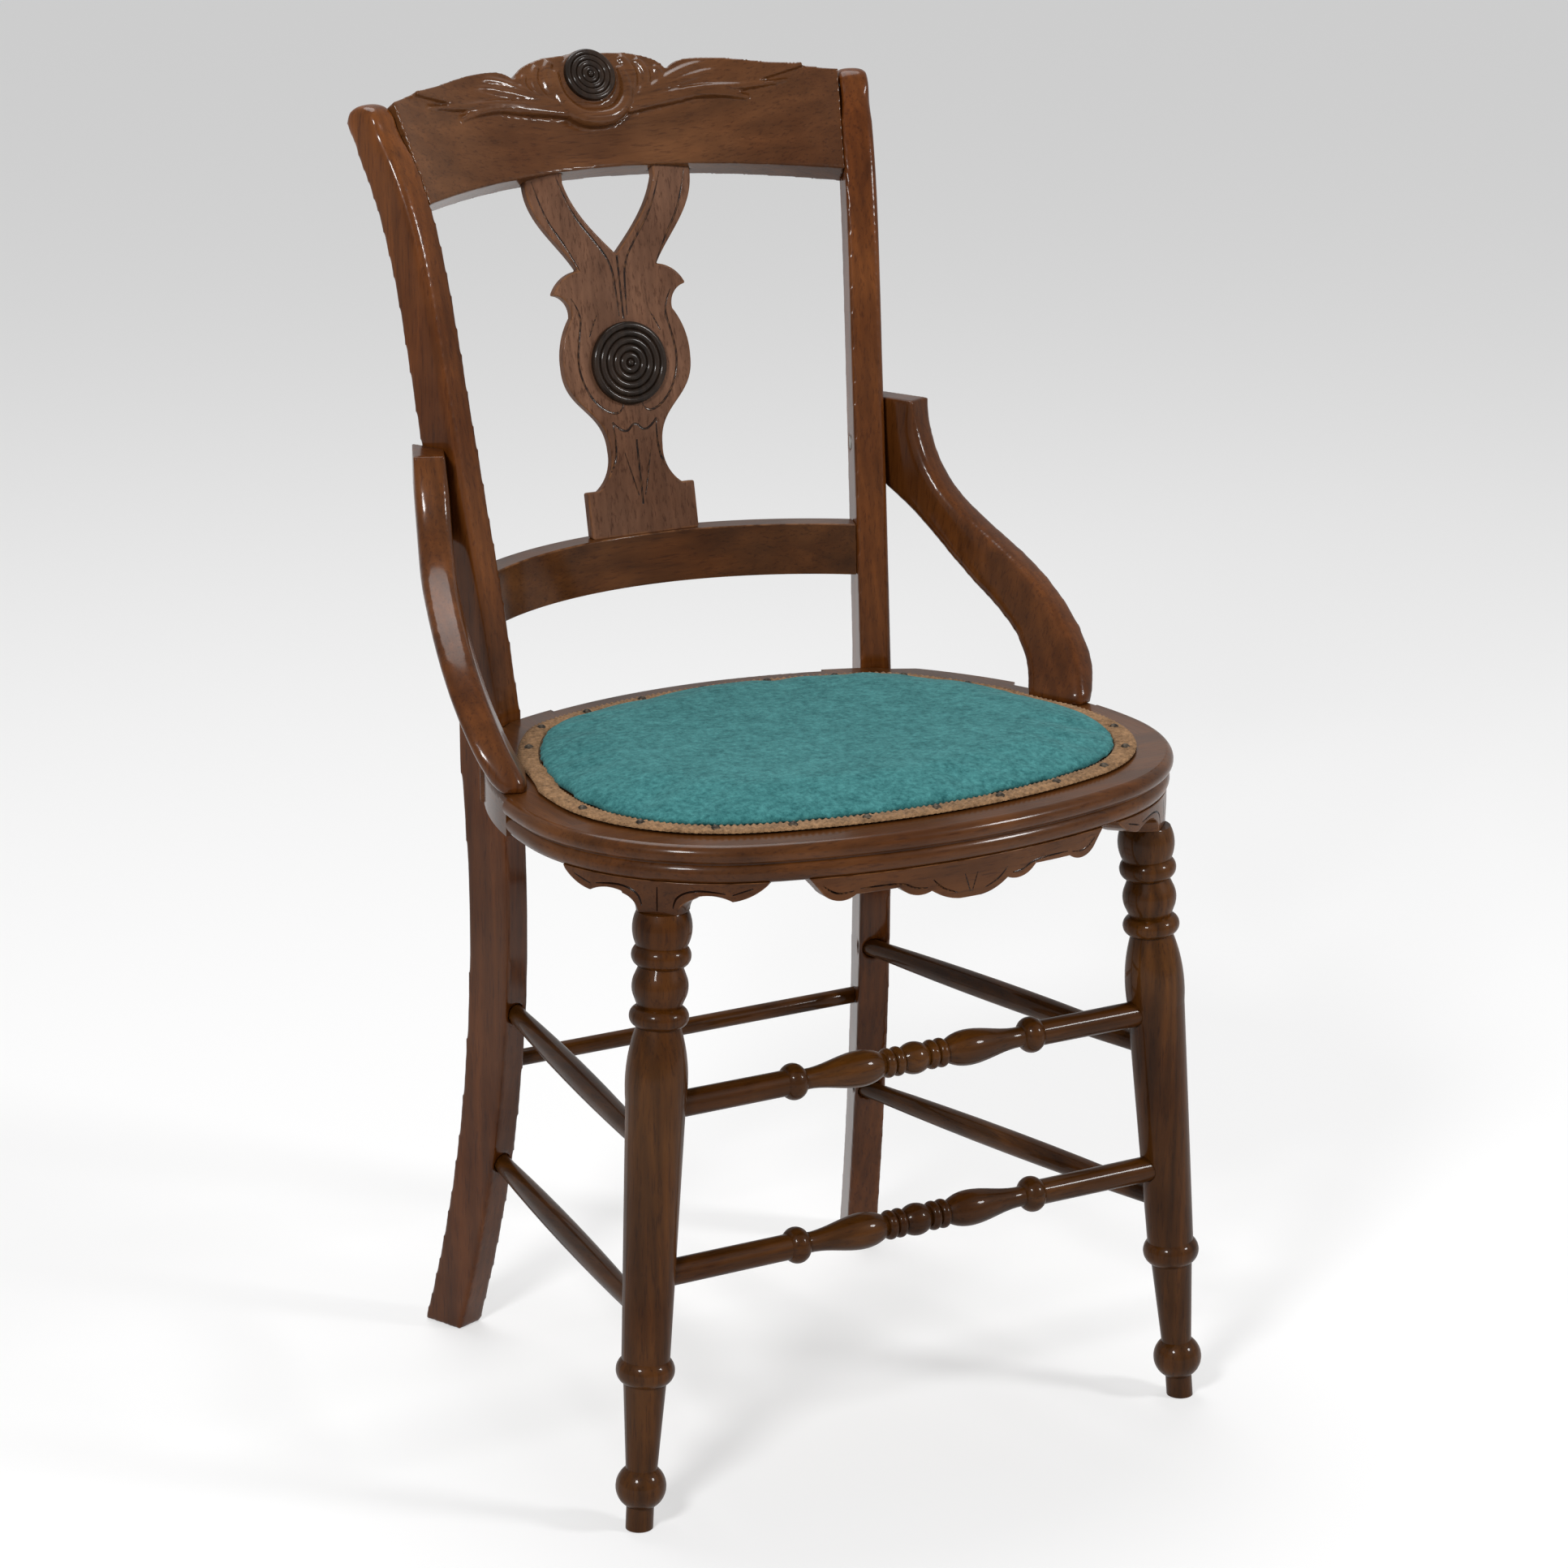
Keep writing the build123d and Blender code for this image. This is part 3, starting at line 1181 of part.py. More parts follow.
pieces = {
    "front_leg_right": front_leg_right,
    "rear_post_right": rear_post_right,
    "hip_rest_right": hip_rest_right,
    "seat_side_rail_right": seat_side_rail_right,
    "leg_bracket_right": leg_bracket_right,
    "side_stretcher_upper_right": side_stretcher_upper_right,
    "side_stretcher_lower_right": side_stretcher_lower_right,
}
for name in list(pieces):
    with BuildPart() as left_piece:
        mirror(pieces[name].part, about=Plane.YZ)
    pieces[name.replace("right", "left")] = left_piece
pieces["seat_front_rail"] = seat_front_rail
pieces["seat_back_rail"] = seat_back_rail
pieces["seat_apron"] = seat_apron
pieces["front_stretcher_upper"] = front_stretcher_upper
pieces["front_stretcher_lower"] = front_stretcher_lower
pieces["rear_stretcher"] = rear_stretcher
pieces["crest_rail"] = crest_rail
pieces["crest_rosette"] = crest_rosette
pieces["lower_back_rail"] = lower_back_rail
pieces["back_splat"] = back_splat
pieces["splat_roundel"] = splat_roundel
pieces["seat_panel"] = seat_panel
pieces["seat_pad"] = seat_pad
pieces["seat_cover"] = seat_cover
pieces["seat_gimp"] = seat_gimp
pieces["gimp_tacks"] = gimp_tacks
pieces["rail_dowels"] = rail_dowels
pieces["seat_post_dowels"] = seat_post_dowels
pieces["hip_rest_screws"] = hip_rest_screws

for name, piece in pieces.items():
    piece.part.label = name
    export_step(piece.part, f"parts/{name}.step")
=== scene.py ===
from math import atan, atan2, cos, hypot, pi, radians, sin, sqrt

import bpy
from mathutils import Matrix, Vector


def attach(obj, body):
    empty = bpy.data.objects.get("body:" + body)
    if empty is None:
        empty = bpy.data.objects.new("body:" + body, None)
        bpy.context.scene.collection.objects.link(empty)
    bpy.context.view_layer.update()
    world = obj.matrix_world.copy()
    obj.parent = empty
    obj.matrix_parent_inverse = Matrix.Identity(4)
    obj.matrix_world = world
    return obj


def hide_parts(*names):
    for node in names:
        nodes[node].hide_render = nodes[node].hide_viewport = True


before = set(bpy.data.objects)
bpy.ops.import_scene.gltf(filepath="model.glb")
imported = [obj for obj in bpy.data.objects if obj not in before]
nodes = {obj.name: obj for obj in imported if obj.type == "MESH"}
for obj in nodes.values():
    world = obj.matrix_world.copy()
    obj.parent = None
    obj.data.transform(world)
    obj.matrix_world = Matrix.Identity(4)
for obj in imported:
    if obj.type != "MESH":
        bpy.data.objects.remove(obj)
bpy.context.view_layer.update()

scene = bpy.context.scene
print("frame loaded with", len(nodes), "nodes")

feetLine = -0.2111  # metres, as everywhere below
# corners nearer than this become one, and faces that meet flatter than this in degrees
weld = {"near": 0.00002, "tube": 0.00001, "flat": 0.6}


def letGo():
    if bpy.context.object and bpy.context.object.mode != "OBJECT":
        bpy.ops.object.mode_set(mode="OBJECT")
    bpy.ops.object.select_all(action="DESELECT")


def takeHold(piece):
    letGo()
    piece.select_set(True)
    bpy.context.view_layer.objects.active = piece


def applyAll(piece):
    takeHold(piece)
    for step in list(piece.modifiers):
        bpy.ops.object.modifier_apply(modifier=step.name)


def copyNode(node, name):
    piece = bpy.data.objects.new(name, nodes[node].data.copy())
    scene.collection.objects.link(piece)
    piece.data.materials.clear()
    takeHold(piece)
    bpy.ops.object.mode_set(mode="EDIT")
    bpy.ops.mesh.select_all(action="SELECT")
    bpy.ops.mesh.customdata_custom_splitnormals_clear()
    bpy.ops.mesh.remove_doubles(threshold=weld["near"])
    bpy.ops.mesh.dissolve_limited(angle_limit=radians(weld["flat"]))
    bpy.ops.object.mode_set(mode="OBJECT")
    return piece


def faceOut(piece):
    takeHold(piece)
    bpy.ops.object.mode_set(mode="EDIT")
    bpy.ops.mesh.select_all(action="SELECT")
    bpy.ops.mesh.normals_make_consistent(inside=False)
    bpy.ops.object.mode_set(mode="OBJECT")


def onGrid(piece, size):
    # one closed surface of even small faces
    grid = piece.modifiers.new("grid", "REMESH")
    grid.mode = "VOXEL"
    grid.voxel_size = size


def rubDown(piece, rubs, group=""):
    rub = piece.modifiers.new("rub", "SMOOTH")
    rub.factor = 0.5
    rub.iterations = rubs
    rub.vertex_group = group
    return rub


def smoothBy(piece, angle):
    takeHold(piece)
    bpy.ops.object.shade_smooth_by_angle(angle=radians(angle))


# camera
shot = {
    "place": (-1.40361, -2.2865 + feetLine, 1.24855), "pitch": -0.2877, "yaw": -0.5181, "lens": 103.7,
    "sensor": 36, "far": 100,
}
letGo()
bpy.ops.object.camera_add(location=shot["place"], rotation=(pi / 2 + shot["pitch"], 0, shot["yaw"]))
eye = bpy.context.object
eye.name = "eye"
eye.data.lens = shot["lens"]
eye.data.sensor_width = shot["sensor"]
eye.data.clip_end = shot["far"]
scene.camera = eye
print("camera set")


# shader helpers and the shared effects
def newGroup(name, inputs, outputs):
    group = bpy.data.node_groups.new(name, "ShaderNodeTree")
    for label, kind, value in inputs:
        socket = group.interface.new_socket(name=label, in_out="INPUT", socket_type=kind)
        if value is not None:
            socket.default_value = value
    for label, kind in outputs:
        group.interface.new_socket(name=label, in_out="OUTPUT", socket_type=kind)
    return group, group.nodes.new("NodeGroupInput"), group.nodes.new("NodeGroupOutput")


def addNode(tree, kind, **values):
    node = tree.nodes.new(kind)
    for key, value in values.items():
        if key.startswith("in_"):
            label = key[3:]
            node.inputs[int(label) if label.isdigit() else label].default_value = value
        else:
            setattr(node, key, value)
    return node


def addRamp(tree, stops):
    ramp = tree.nodes.new("ShaderNodeValToRGB")
    while len(ramp.color_ramp.elements) < len(stops):
        ramp.color_ramp.elements.new(0.5)
    for element, (place, shade) in zip(ramp.color_ramp.elements, stops):
        element.position = place
        element.color = (shade, shade, shade, 1) if isinstance(shade, (int, float)) else (*shade, 1)
    return ramp


# walnut figure: broad streaks, growth lines and short dark pores, along the mapped z axis
walnutGrain, gIn, gOut = newGroup(
    "walnutGrain",
    (
        ("Vector", "NodeSocketVector", None),
        ("Deep", "NodeSocketColor", (0.05, 0.018, 0.009, 1)),
        ("Warm", "NodeSocketColor", (0.2, 0.07, 0.026, 1)),
        ("Pores", "NodeSocketFloat", 0.6),
    ),
    (("Color", "NodeSocketColor"), ("Rough", "NodeSocketFloat"), ("Height", "NodeSocketFloat")),
)
streak = addNode(walnutGrain, "ShaderNodeTexNoise", in_Scale=1.6, in_Detail=6.0, in_Roughness=0.6)
streak.inputs["Distortion"].default_value = 0.4
lines = addNode(walnutGrain, "ShaderNodeTexWave", in_Scale=1.1, in_Distortion=9.0, in_Detail=3.0)
lines.inputs["Detail Scale"].default_value = 0.5
pores = addNode(walnutGrain, "ShaderNodeTexNoise", in_Scale=13.0, in_Detail=3.0, in_Roughness=0.65)
blotch = addNode(walnutGrain, "ShaderNodeTexNoise", in_Scale=0.3, in_Detail=2.0)
for tex in (streak, lines, pores, blotch):
    walnutGrain.links.new(gIn.outputs["Vector"], tex.inputs["Vector"])
lineShare = addNode(walnutGrain, "ShaderNodeMath", operation="MULTIPLY_ADD", in_1=0.09)
walnutGrain.links.new(lines.outputs["Fac"], lineShare.inputs[0])
walnutGrain.links.new(streak.outputs["Fac"], lineShare.inputs[2])
blotchShare = addNode(walnutGrain, "ShaderNodeMath", operation="MULTIPLY_ADD", in_1=0.5)
walnutGrain.links.new(blotch.outputs["Fac"], blotchShare.inputs[0])
walnutGrain.links.new(lineShare.outputs[0], blotchShare.inputs[2])
figure = addRamp(walnutGrain, ((0.5, 0.0), (0.8, 0.5), (1.0, 1.0)))
walnutGrain.links.new(blotchShare.outputs[0], figure.inputs[0])
tone = addNode(walnutGrain, "ShaderNodeMix", data_type="RGBA")
walnutGrain.links.new(figure.outputs[0], tone.inputs[0])
walnutGrain.links.new(gIn.outputs["Deep"], tone.inputs[6])
walnutGrain.links.new(gIn.outputs["Warm"], tone.inputs[7])
poreMask = addRamp(walnutGrain, ((0.33, 1.0), (0.47, 0.0)))
walnutGrain.links.new(pores.outputs["Fac"], poreMask.inputs[0])
poreDepth = addNode(walnutGrain, "ShaderNodeMath", operation="MULTIPLY")
walnutGrain.links.new(poreMask.outputs[0], poreDepth.inputs[0])
walnutGrain.links.new(gIn.outputs["Pores"], poreDepth.inputs[1])
poreTone = addNode(walnutGrain, "ShaderNodeMix", data_type="RGBA", blend_type="MULTIPLY")
walnutGrain.links.new(poreDepth.outputs[0], poreTone.inputs[0])
walnutGrain.links.new(tone.outputs[2], poreTone.inputs[6])
poreTone.inputs[7].default_value = (0.42, 0.36, 0.32, 1)
walnutGrain.links.new(poreTone.outputs[2], gOut.inputs["Color"])
roughness = addNode(walnutGrain, "ShaderNodeMath", operation="MULTIPLY_ADD", in_1=0.14, in_2=0.2)
walnutGrain.links.new(streak.outputs["Fac"], roughness.inputs[0])
walnutGrain.links.new(roughness.outputs[0], gOut.inputs["Rough"])
height = addNode(walnutGrain, "ShaderNodeMath", operation="MULTIPLY_ADD", in_1=-0.6)
walnutGrain.links.new(poreDepth.outputs[0], height.inputs[0])
walnutGrain.links.new(streak.outputs["Fac"], height.inputs[2])
walnutGrain.links.new(height.outputs[0], gOut.inputs["Height"])

# old varnish and painted shade: clouded gloss, paler wood where the eased edges are rubbed, and painted
# shade that darkens the wood below the seat, on plain object coordinates
oldVarnish, gIn, gOut = newGroup(
    "oldVarnish",
    (
        ("Vector", "NodeSocketVector", None),
        ("Color", "NodeSocketColor", (0.1, 0.04, 0.02, 1)),
        ("Rough", "NodeSocketFloat", 0.3),
        ("Rub", "NodeSocketFloat", 0.0),
        ("Gloss", "NodeSocketFloat", 1.0),
        ("Low", "NodeSocketFloat", 0.0),
    ),
    (("Color", "NodeSocketColor"), ("Rough", "NodeSocketFloat"), ("Coat", "NodeSocketFloat")),
)
cloud = addNode(oldVarnish, "ShaderNodeTexNoise", in_Scale=9.0, in_Detail=4.0, in_Roughness=0.6)
scuff = addNode(oldVarnish, "ShaderNodeTexNoise", in_Scale=120.0, in_Detail=3.0)
for tex in (cloud, scuff):
    oldVarnish.links.new(gIn.outputs["Vector"], tex.inputs["Vector"])
cloudMask = addRamp(oldVarnish, ((0.35, 0.0), (0.68, 1.0)))
oldVarnish.links.new(cloud.outputs["Fac"], cloudMask.inputs[0])
scuffRamp = addRamp(oldVarnish, ((0.4, 0.0), (0.6, 1.0)))
oldVarnish.links.new(scuff.outputs["Fac"], scuffRamp.inputs[0])
scuffMask = addNode(oldVarnish, "ShaderNodeMath", operation="MULTIPLY")
oldVarnish.links.new(scuffRamp.outputs[0], scuffMask.inputs[0])
oldVarnish.links.new(gIn.outputs["Rub"], scuffMask.inputs[1])
shade = addNode(oldVarnish, "ShaderNodeMix", data_type="RGBA", blend_type="MULTIPLY")
shade.inputs[7].default_value = (0.66, 0.58, 0.52, 1)
oldVarnish.links.new(cloudMask.outputs[0], shade.inputs[0])
oldVarnish.links.new(gIn.outputs["Color"], shade.inputs[6])
worn = addNode(oldVarnish, "ShaderNodeMix", data_type="RGBA")
worn.inputs[7].default_value = (0.2, 0.085, 0.032, 1)
wornShare = addNode(oldVarnish, "ShaderNodeMath", operation="MULTIPLY", in_1=0.5)
oldVarnish.links.new(scuffMask.outputs[0], wornShare.inputs[0])
oldVarnish.links.new(wornShare.outputs[0], worn.inputs[0])
oldVarnish.links.new(shade.outputs[2], worn.inputs[6])
heights = addNode(oldVarnish, "ShaderNodeSeparateXYZ")
oldVarnish.links.new(gIn.outputs["Vector"], heights.inputs[0])
underSeatShadeRamp = addRamp(oldVarnish, ((0.3, 1.0), (0.5, 0.0)))  # painted shade under the seat: darker below the seat, by height in metres
oldVarnish.links.new(heights.outputs["Z"], underSeatShadeRamp.inputs[0])
underSeatShadeShare = addNode(oldVarnish, "ShaderNodeMath", operation="MULTIPLY")
oldVarnish.links.new(underSeatShadeRamp.outputs[0], underSeatShadeShare.inputs[0])
oldVarnish.links.new(gIn.outputs["Low"], underSeatShadeShare.inputs[1])
underSeatShadeTone = addNode(oldVarnish, "ShaderNodeMix", data_type="RGBA", blend_type="MULTIPLY")
underSeatShadeTone.inputs[7].default_value = (0.45, 0.42, 0.3, 1)
oldVarnish.links.new(underSeatShadeShare.outputs[0], underSeatShadeTone.inputs[0])
oldVarnish.links.new(worn.outputs[2], underSeatShadeTone.inputs[6])
oldVarnish.links.new(underSeatShadeTone.outputs[2], gOut.inputs["Color"])
roughUp = addNode(oldVarnish, "ShaderNodeMath", operation="MULTIPLY_ADD", in_1=0.12)
oldVarnish.links.new(scuffMask.outputs[0], roughUp.inputs[0])
oldVarnish.links.new(gIn.outputs["Rough"], roughUp.inputs[2])
dull = addNode(oldVarnish, "ShaderNodeMath", operation="MULTIPLY_ADD", in_1=-0.3, in_2=0.3)
oldVarnish.links.new(gIn.outputs["Gloss"], dull.inputs[0])
roughAll = addNode(oldVarnish, "ShaderNodeMath", operation="ADD")
oldVarnish.links.new(roughUp.outputs[0], roughAll.inputs[0])
oldVarnish.links.new(dull.outputs[0], roughAll.inputs[1])
oldVarnish.links.new(roughAll.outputs[0], gOut.inputs["Rough"])
coat = addNode(oldVarnish, "ShaderNodeMath", operation="MULTIPLY_ADD", in_1=-0.2, in_2=0.5)
oldVarnish.links.new(cloudMask.outputs[0], coat.inputs[0])
coatAll = addNode(oldVarnish, "ShaderNodeMath", operation="MULTIPLY")
oldVarnish.links.new(coat.outputs[0], coatAll.inputs[0])
oldVarnish.links.new(gIn.outputs["Gloss"], coatAll.inputs[1])
oldVarnish.links.new(coatAll.outputs[0], gOut.inputs["Coat"])

grainLay = {"across": 46.0, "along": 4.0}  # how close the figure lies


def makeWood(name, deep, warm, along, pore=0.6, gloss=1.0, low=0.0, polish=0.12):
    # along: 0, 1 or 2 for grain that runs along x, y or z; low: how much painted shade darkens the wood
    # below the seat
    made = bpy.data.materials.new(name)
    made.use_nodes = True
    tree = made.node_tree
    skin = tree.nodes["Principled BSDF"]
    place = addNode(tree, "ShaderNodeTexCoord")
    stretch = [grainLay["across"]] * 3
    stretch[along] = grainLay["along"]
    lay = addNode(tree, "ShaderNodeMapping")
    lay.inputs["Scale"].default_value = stretch
    tree.links.new(place.outputs["Object"], lay.inputs["Vector"])
    grain = addNode(tree, "ShaderNodeGroup", node_tree=walnutGrain)
    grain.inputs["Deep"].default_value = (*deep, 1)
    grain.inputs["Warm"].default_value = (*warm, 1)
    grain.inputs["Pores"].default_value = pore
    tree.links.new(lay.outputs[0], grain.inputs["Vector"])
    finishAndShade = addNode(tree, "ShaderNodeGroup", node_tree=oldVarnish)
    finishAndShade.inputs["Gloss"].default_value = gloss
    finishAndShade.inputs["Low"].default_value = low
    tree.links.new(place.outputs["Object"], finishAndShade.inputs["Vector"])
    tree.links.new(grain.outputs["Color"], finishAndShade.inputs["Color"])
    tree.links.new(grain.outputs["Rough"], finishAndShade.inputs["Rough"])
    rubbedEdge = addNode(tree, "ShaderNodeAttribute", attribute_name="rub")
    tree.links.new(rubbedEdge.outputs["Fac"], finishAndShade.inputs["Rub"])
    tree.links.new(finishAndShade.outputs["Color"], skin.inputs["Base Color"])
    tree.links.new(finishAndShade.outputs["Rough"], skin.inputs["Roughness"])
    tree.links.new(finishAndShade.outputs["Coat"], skin.inputs["Coat Weight"])
    skin.inputs["Specular IOR Level"].default_value = 0.05
    skin.inputs["Coat Roughness"].default_value = polish
    skin.inputs["Coat IOR"].default_value = 1.5
    dents = addNode(tree, "ShaderNodeBump", in_Strength=0.12, in_Distance=0.0008)
    tree.links.new(grain.outputs["Height"], dents.inputs["Height"])
    tree.links.new(dents.outputs[0], skin.inputs["Normal"])
    return made


railDeep, railWarm = (0.048, 0.0165, 0.0036), (0.118, 0.041, 0.0092)
turnedDeep, turnedWarm, sideRodWarm = (0.02, 0.0068, 0.0007), (0.088, 0.03, 0.004), (0.08, 0.0275, 0.0037)
woods = {
    # the posts take painted shade below the seat
    "post": makeWood("walnutPost", (0.067, 0.0195, 0.0034), (0.165, 0.05, 0.0095), 2, gloss=0.85, low=0.65),
    "hip": makeWood("walnutHip", (0.052, 0.0155, 0.0028), (0.124, 0.0385, 0.0075), 2, gloss=0.85),
    "crest": makeWood("walnutCrest", (0.07, 0.026, 0.008), (0.138, 0.053, 0.0175), 0, gloss=0.9),
    "rail": makeWood("walnutRail", railDeep, railWarm, 0, gloss=0.75),
    "sideRail": makeWood("walnutSideRail", railDeep, railWarm, 1, gloss=0.75),
    "splat": makeWood("walnutSplat", (0.09, 0.042, 0.024), (0.185, 0.09, 0.052), 2, pore=0.8, gloss=0.25),
    "leg": makeWood("walnutLeg", turnedDeep, turnedWarm, 2, gloss=0.55, polish=0.05),
    "rod": makeWood("walnutRod", turnedDeep, turnedWarm, 0, gloss=0.55, polish=0.05),
    "sideRod": makeWood("walnutSideRod", turnedDeep, sideRodWarm, 1, gloss=0.55, polish=0.05),
    "ebony": makeWood("ebonised", (0.009, 0.006, 0.0045), (0.034, 0.02, 0.013), 2, pore=0.4, gloss=0.6),
    # painted shade for the bottoms and sides of incised grooves
    "groove": makeWood("grooveShade", (0.008, 0.003, 0.0018), (0.02, 0.008, 0.004), 2, pore=0.2),
    "bare": makeWood("bareWood", (0.32, 0.2, 0.1), (0.5, 0.34, 0.18), 0, pore=0.5),
}
print("woods mixed")

# velvet: mottled short pile with a soft sheen
velvetPile, gIn, gOut = newGroup(
    "velvetPile",
    (
        ("Vector", "NodeSocketVector", None),
        ("Dark", "NodeSocketColor", None),
        ("Light", "NodeSocketColor", None),
    ),
    (("Color", "NodeSocketColor"), ("Height", "NodeSocketFloat")),
)
nap = addNode(velvetPile, "ShaderNodeTexNoise", in_Scale=60.0, in_Detail=3.0, in_Roughness=0.55)
fleck = addNode(velvetPile, "ShaderNodeTexNoise", in_Scale=260.0, in_Detail=4.0, in_Roughness=0.75)
fibre = addNode(velvetPile, "ShaderNodeTexNoise", in_Scale=1100.0, in_Detail=2.0)
for tex in (nap, fleck, fibre):
    velvetPile.links.new(gIn.outputs["Vector"], tex.inputs["Vector"])
napShare = addNode(velvetPile, "ShaderNodeMath", operation="MULTIPLY", in_1=0.3)
velvetPile.links.new(nap.outputs["Fac"], napShare.inputs[0])
fleckShare = addNode(velvetPile, "ShaderNodeMath", operation="MULTIPLY_ADD", in_1=1.0)
velvetPile.links.new(fleck.outputs["Fac"], fleckShare.inputs[0])
velvetPile.links.new(napShare.outputs[0], fleckShare.inputs[2])
pileTone = addRamp(velvetPile, ((0.46, 0.0), (0.86, 1.0)))
velvetPile.links.new(fleckShare.outputs[0], pileTone.inputs[0])
pileMix = addNode(velvetPile, "ShaderNodeMix", data_type="RGBA")
velvetPile.links.new(pileTone.outputs[0], pileMix.inputs[0])
velvetPile.links.new(gIn.outputs["Dark"], pileMix.inputs[6])
velvetPile.links.new(gIn.outputs["Light"], pileMix.inputs[7])
velvetPile.links.new(pileMix.outputs[2], gOut.inputs["Color"])
pileHeight = addNode(velvetPile, "ShaderNodeMath", operation="MULTIPLY_ADD", in_1=0.5)
velvetPile.links.new(fibre.outputs["Fac"], pileHeight.inputs[0])
velvetPile.links.new(fleck.outputs["Fac"], pileHeight.inputs[2])
velvetPile.links.new(pileHeight.outputs[0], gOut.inputs["Height"])


def makeCloth(name, dark, light, sheen, depth):
    made = bpy.data.materials.new(name)
    made.use_nodes = True
    tree = made.node_tree
    skin = tree.nodes["Principled BSDF"]
    place = addNode(tree, "ShaderNodeTexCoord")
    pile = addNode(tree, "ShaderNodeGroup", node_tree=velvetPile)
    pile.inputs["Dark"].default_value = (*dark, 1)
    pile.inputs["Light"].default_value = (*light, 1)
    tree.links.new(place.outputs["Object"], pile.inputs["Vector"])
    tree.links.new(pile.outputs["Color"], skin.inputs["Base Color"])
    skin.inputs["Roughness"].default_value = 0.92
    skin.inputs["Specular IOR Level"].default_value = 0.15
    skin.inputs["Sheen Weight"].default_value = sheen
    skin.inputs["Sheen Roughness"].default_value = 0.45
    dents = addNode(tree, "ShaderNodeBump", in_Strength=0.7, in_Distance=depth)
    tree.links.new(pile.outputs["Height"], dents.inputs["Height"])
    tree.links.new(dents.outputs[0], skin.inputs["Normal"])
    return made


cloths = {
    "velvet": makeCloth("tealVelvet", (0.012, 0.085, 0.09), (0.062, 0.235, 0.235), 0.03, 0.0012),
    "braid": makeCloth("tanBraid", (0.1, 0.055, 0.026), (0.33, 0.19, 0.095), 0.05, 0.0008),
}


def makeMetal(name, dark, light, rough):
    # dull metal with brown tarnish in clouds
    made = bpy.data.materials.new(name)
    made.use_nodes = True
    tree = made.node_tree
    skin = tree.nodes["Principled BSDF"]
    place = addNode(tree, "ShaderNodeTexCoord")
    tarnish = addNode(tree, "ShaderNodeTexNoise", in_Scale=260.0, in_Detail=4.0)
    tree.links.new(place.outputs["Object"], tarnish.inputs["Vector"])
    tone = addRamp(tree, ((0.35, dark), (0.7, light)))
    tree.links.new(tarnish.outputs["Fac"], tone.inputs[0])
    tree.links.new(tone.outputs[0], skin.inputs["Base Color"])
    dull = addNode(tree, "ShaderNodeMath", operation="MULTIPLY_ADD", in_1=0.3, in_2=rough)
    tree.links.new(tarnish.outputs["Fac"], dull.inputs[0])
    tree.links.new(dull.outputs[0], skin.inputs["Roughness"])
    skin.inputs["Metallic"].default_value = 0.85
    return made


metals = {
    "tack": makeMetal("darkTack", (0.02, 0.016, 0.013), (0.09, 0.07, 0.05), 0.35),
    "screw": makeMetal("screwSteel", (0.18, 0.16, 0.14), (0.4, 0.38, 0.35), 0.25),
}
print("cloth and metal mixed")


# finish a piece that stands for CAD nodes
def settle(piece, material, slot, *stands):
    piece.data.materials.clear()
    piece.data.materials.append(material)
    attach(piece, "root")
    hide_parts(*stands)


# eased edges: steps round an edge, angles in degrees, and how near a corner counts as top or front
easing = {"steps": 3, "sharp": 38, "crease": 32, "nearTop": 0.0002, "nearFront": 0.0005}


def evenShade(piece):
    # flat faces stay flat beside eased edges
    smoothBy(piece, easing["crease"])
    even = piece.modifiers.new("even", "WEIGHTED_NORMAL")
    even.keep_sharp = True
    applyAll(piece)


def soften(node, piece, width, material, front=None):
    # a copy of the solid with its sharp edges eased, and the eased faces marked for wear
    made = copyNode(node, piece)
    if front:
        # the top of the curved front comes up into the hollow of the seat's lower edge
        (cx, cy), radius, top, lift = front
        for corner in made.data.vertices:
            away = hypot(corner.co.x - cx, corner.co.y - cy)
            if corner.co.z > top - easing["nearTop"] and away > radius - easing["nearFront"]:
                corner.co.z += lift
    made.data.materials.append(material)
    made.data.materials.append(material)
    ease = made.modifiers.new("ease", "BEVEL")
    ease.width = width
    ease.segments = easing["steps"]
    ease.limit_method = "ANGLE"
    ease.angle_limit = radians(easing["sharp"])
    ease.use_clamp_overlap = False
    ease.material = 1
    applyAll(made)
    rub = [1.0] * len(made.data.vertices)
    for face in made.data.polygons:
        if face.material_index == 0:
            for corner in face.vertices:
                rub[corner] = 0.0
        face.material_index = 0
    marks = made.data.attributes.new("rub", "FLOAT", "POINT")
    marks.data.foreach_set("value", rub)
    evenShade(made)
    settle(made, material, "walnut", node)
    return made


def drawTube(name, points, radii, smooth=8, rounds=3):
    # a line through given points, thick or thin along its way, made a mesh
    letGo()
    bpy.ops.curve.primitive_nurbs_path_add(location=(0, 0, 0))
    line = bpy.context.object
    line.name = name
    line.data.splines.clear()
    run = line.data.splines.new("NURBS")
    run.points.add(len(points) - 1)
    for knot, place, thick in zip(run.points, points, radii):
        knot.co = (*place, 1)
        knot.radius = thick
    run.order_u = 3
    run.use_endpoint_u = True
    run.resolution_u = smooth
    line.data.bevel_depth = 1.0
    line.data.bevel_resolution = rounds
    line.data.use_fill_caps = True
    takeHold(line)
    bpy.ops.object.convert(target="MESH")
    tube = bpy.context.object
    bpy.ops.object.mode_set(mode="EDIT")
    bpy.ops.mesh.select_all(action="SELECT")
    bpy.ops.mesh.remove_doubles(threshold=weld["tube"])
    faceOut(tube)
    return tube


def joinAll(pieces, name):
    letGo()
    for piece in pieces:
        piece.select_set(True)
    bpy.context.view_layer.objects.active = pieces[0]
    bpy.ops.object.join()
    pieces[0].name = name
    return pieces[0]


def mirrorOver(piece):
    twin = piece.modifiers.new("twin", "MIRROR")
    twin.use_axis[0] = True
    twin.use_mirror_merge = False
    applyAll(piece)


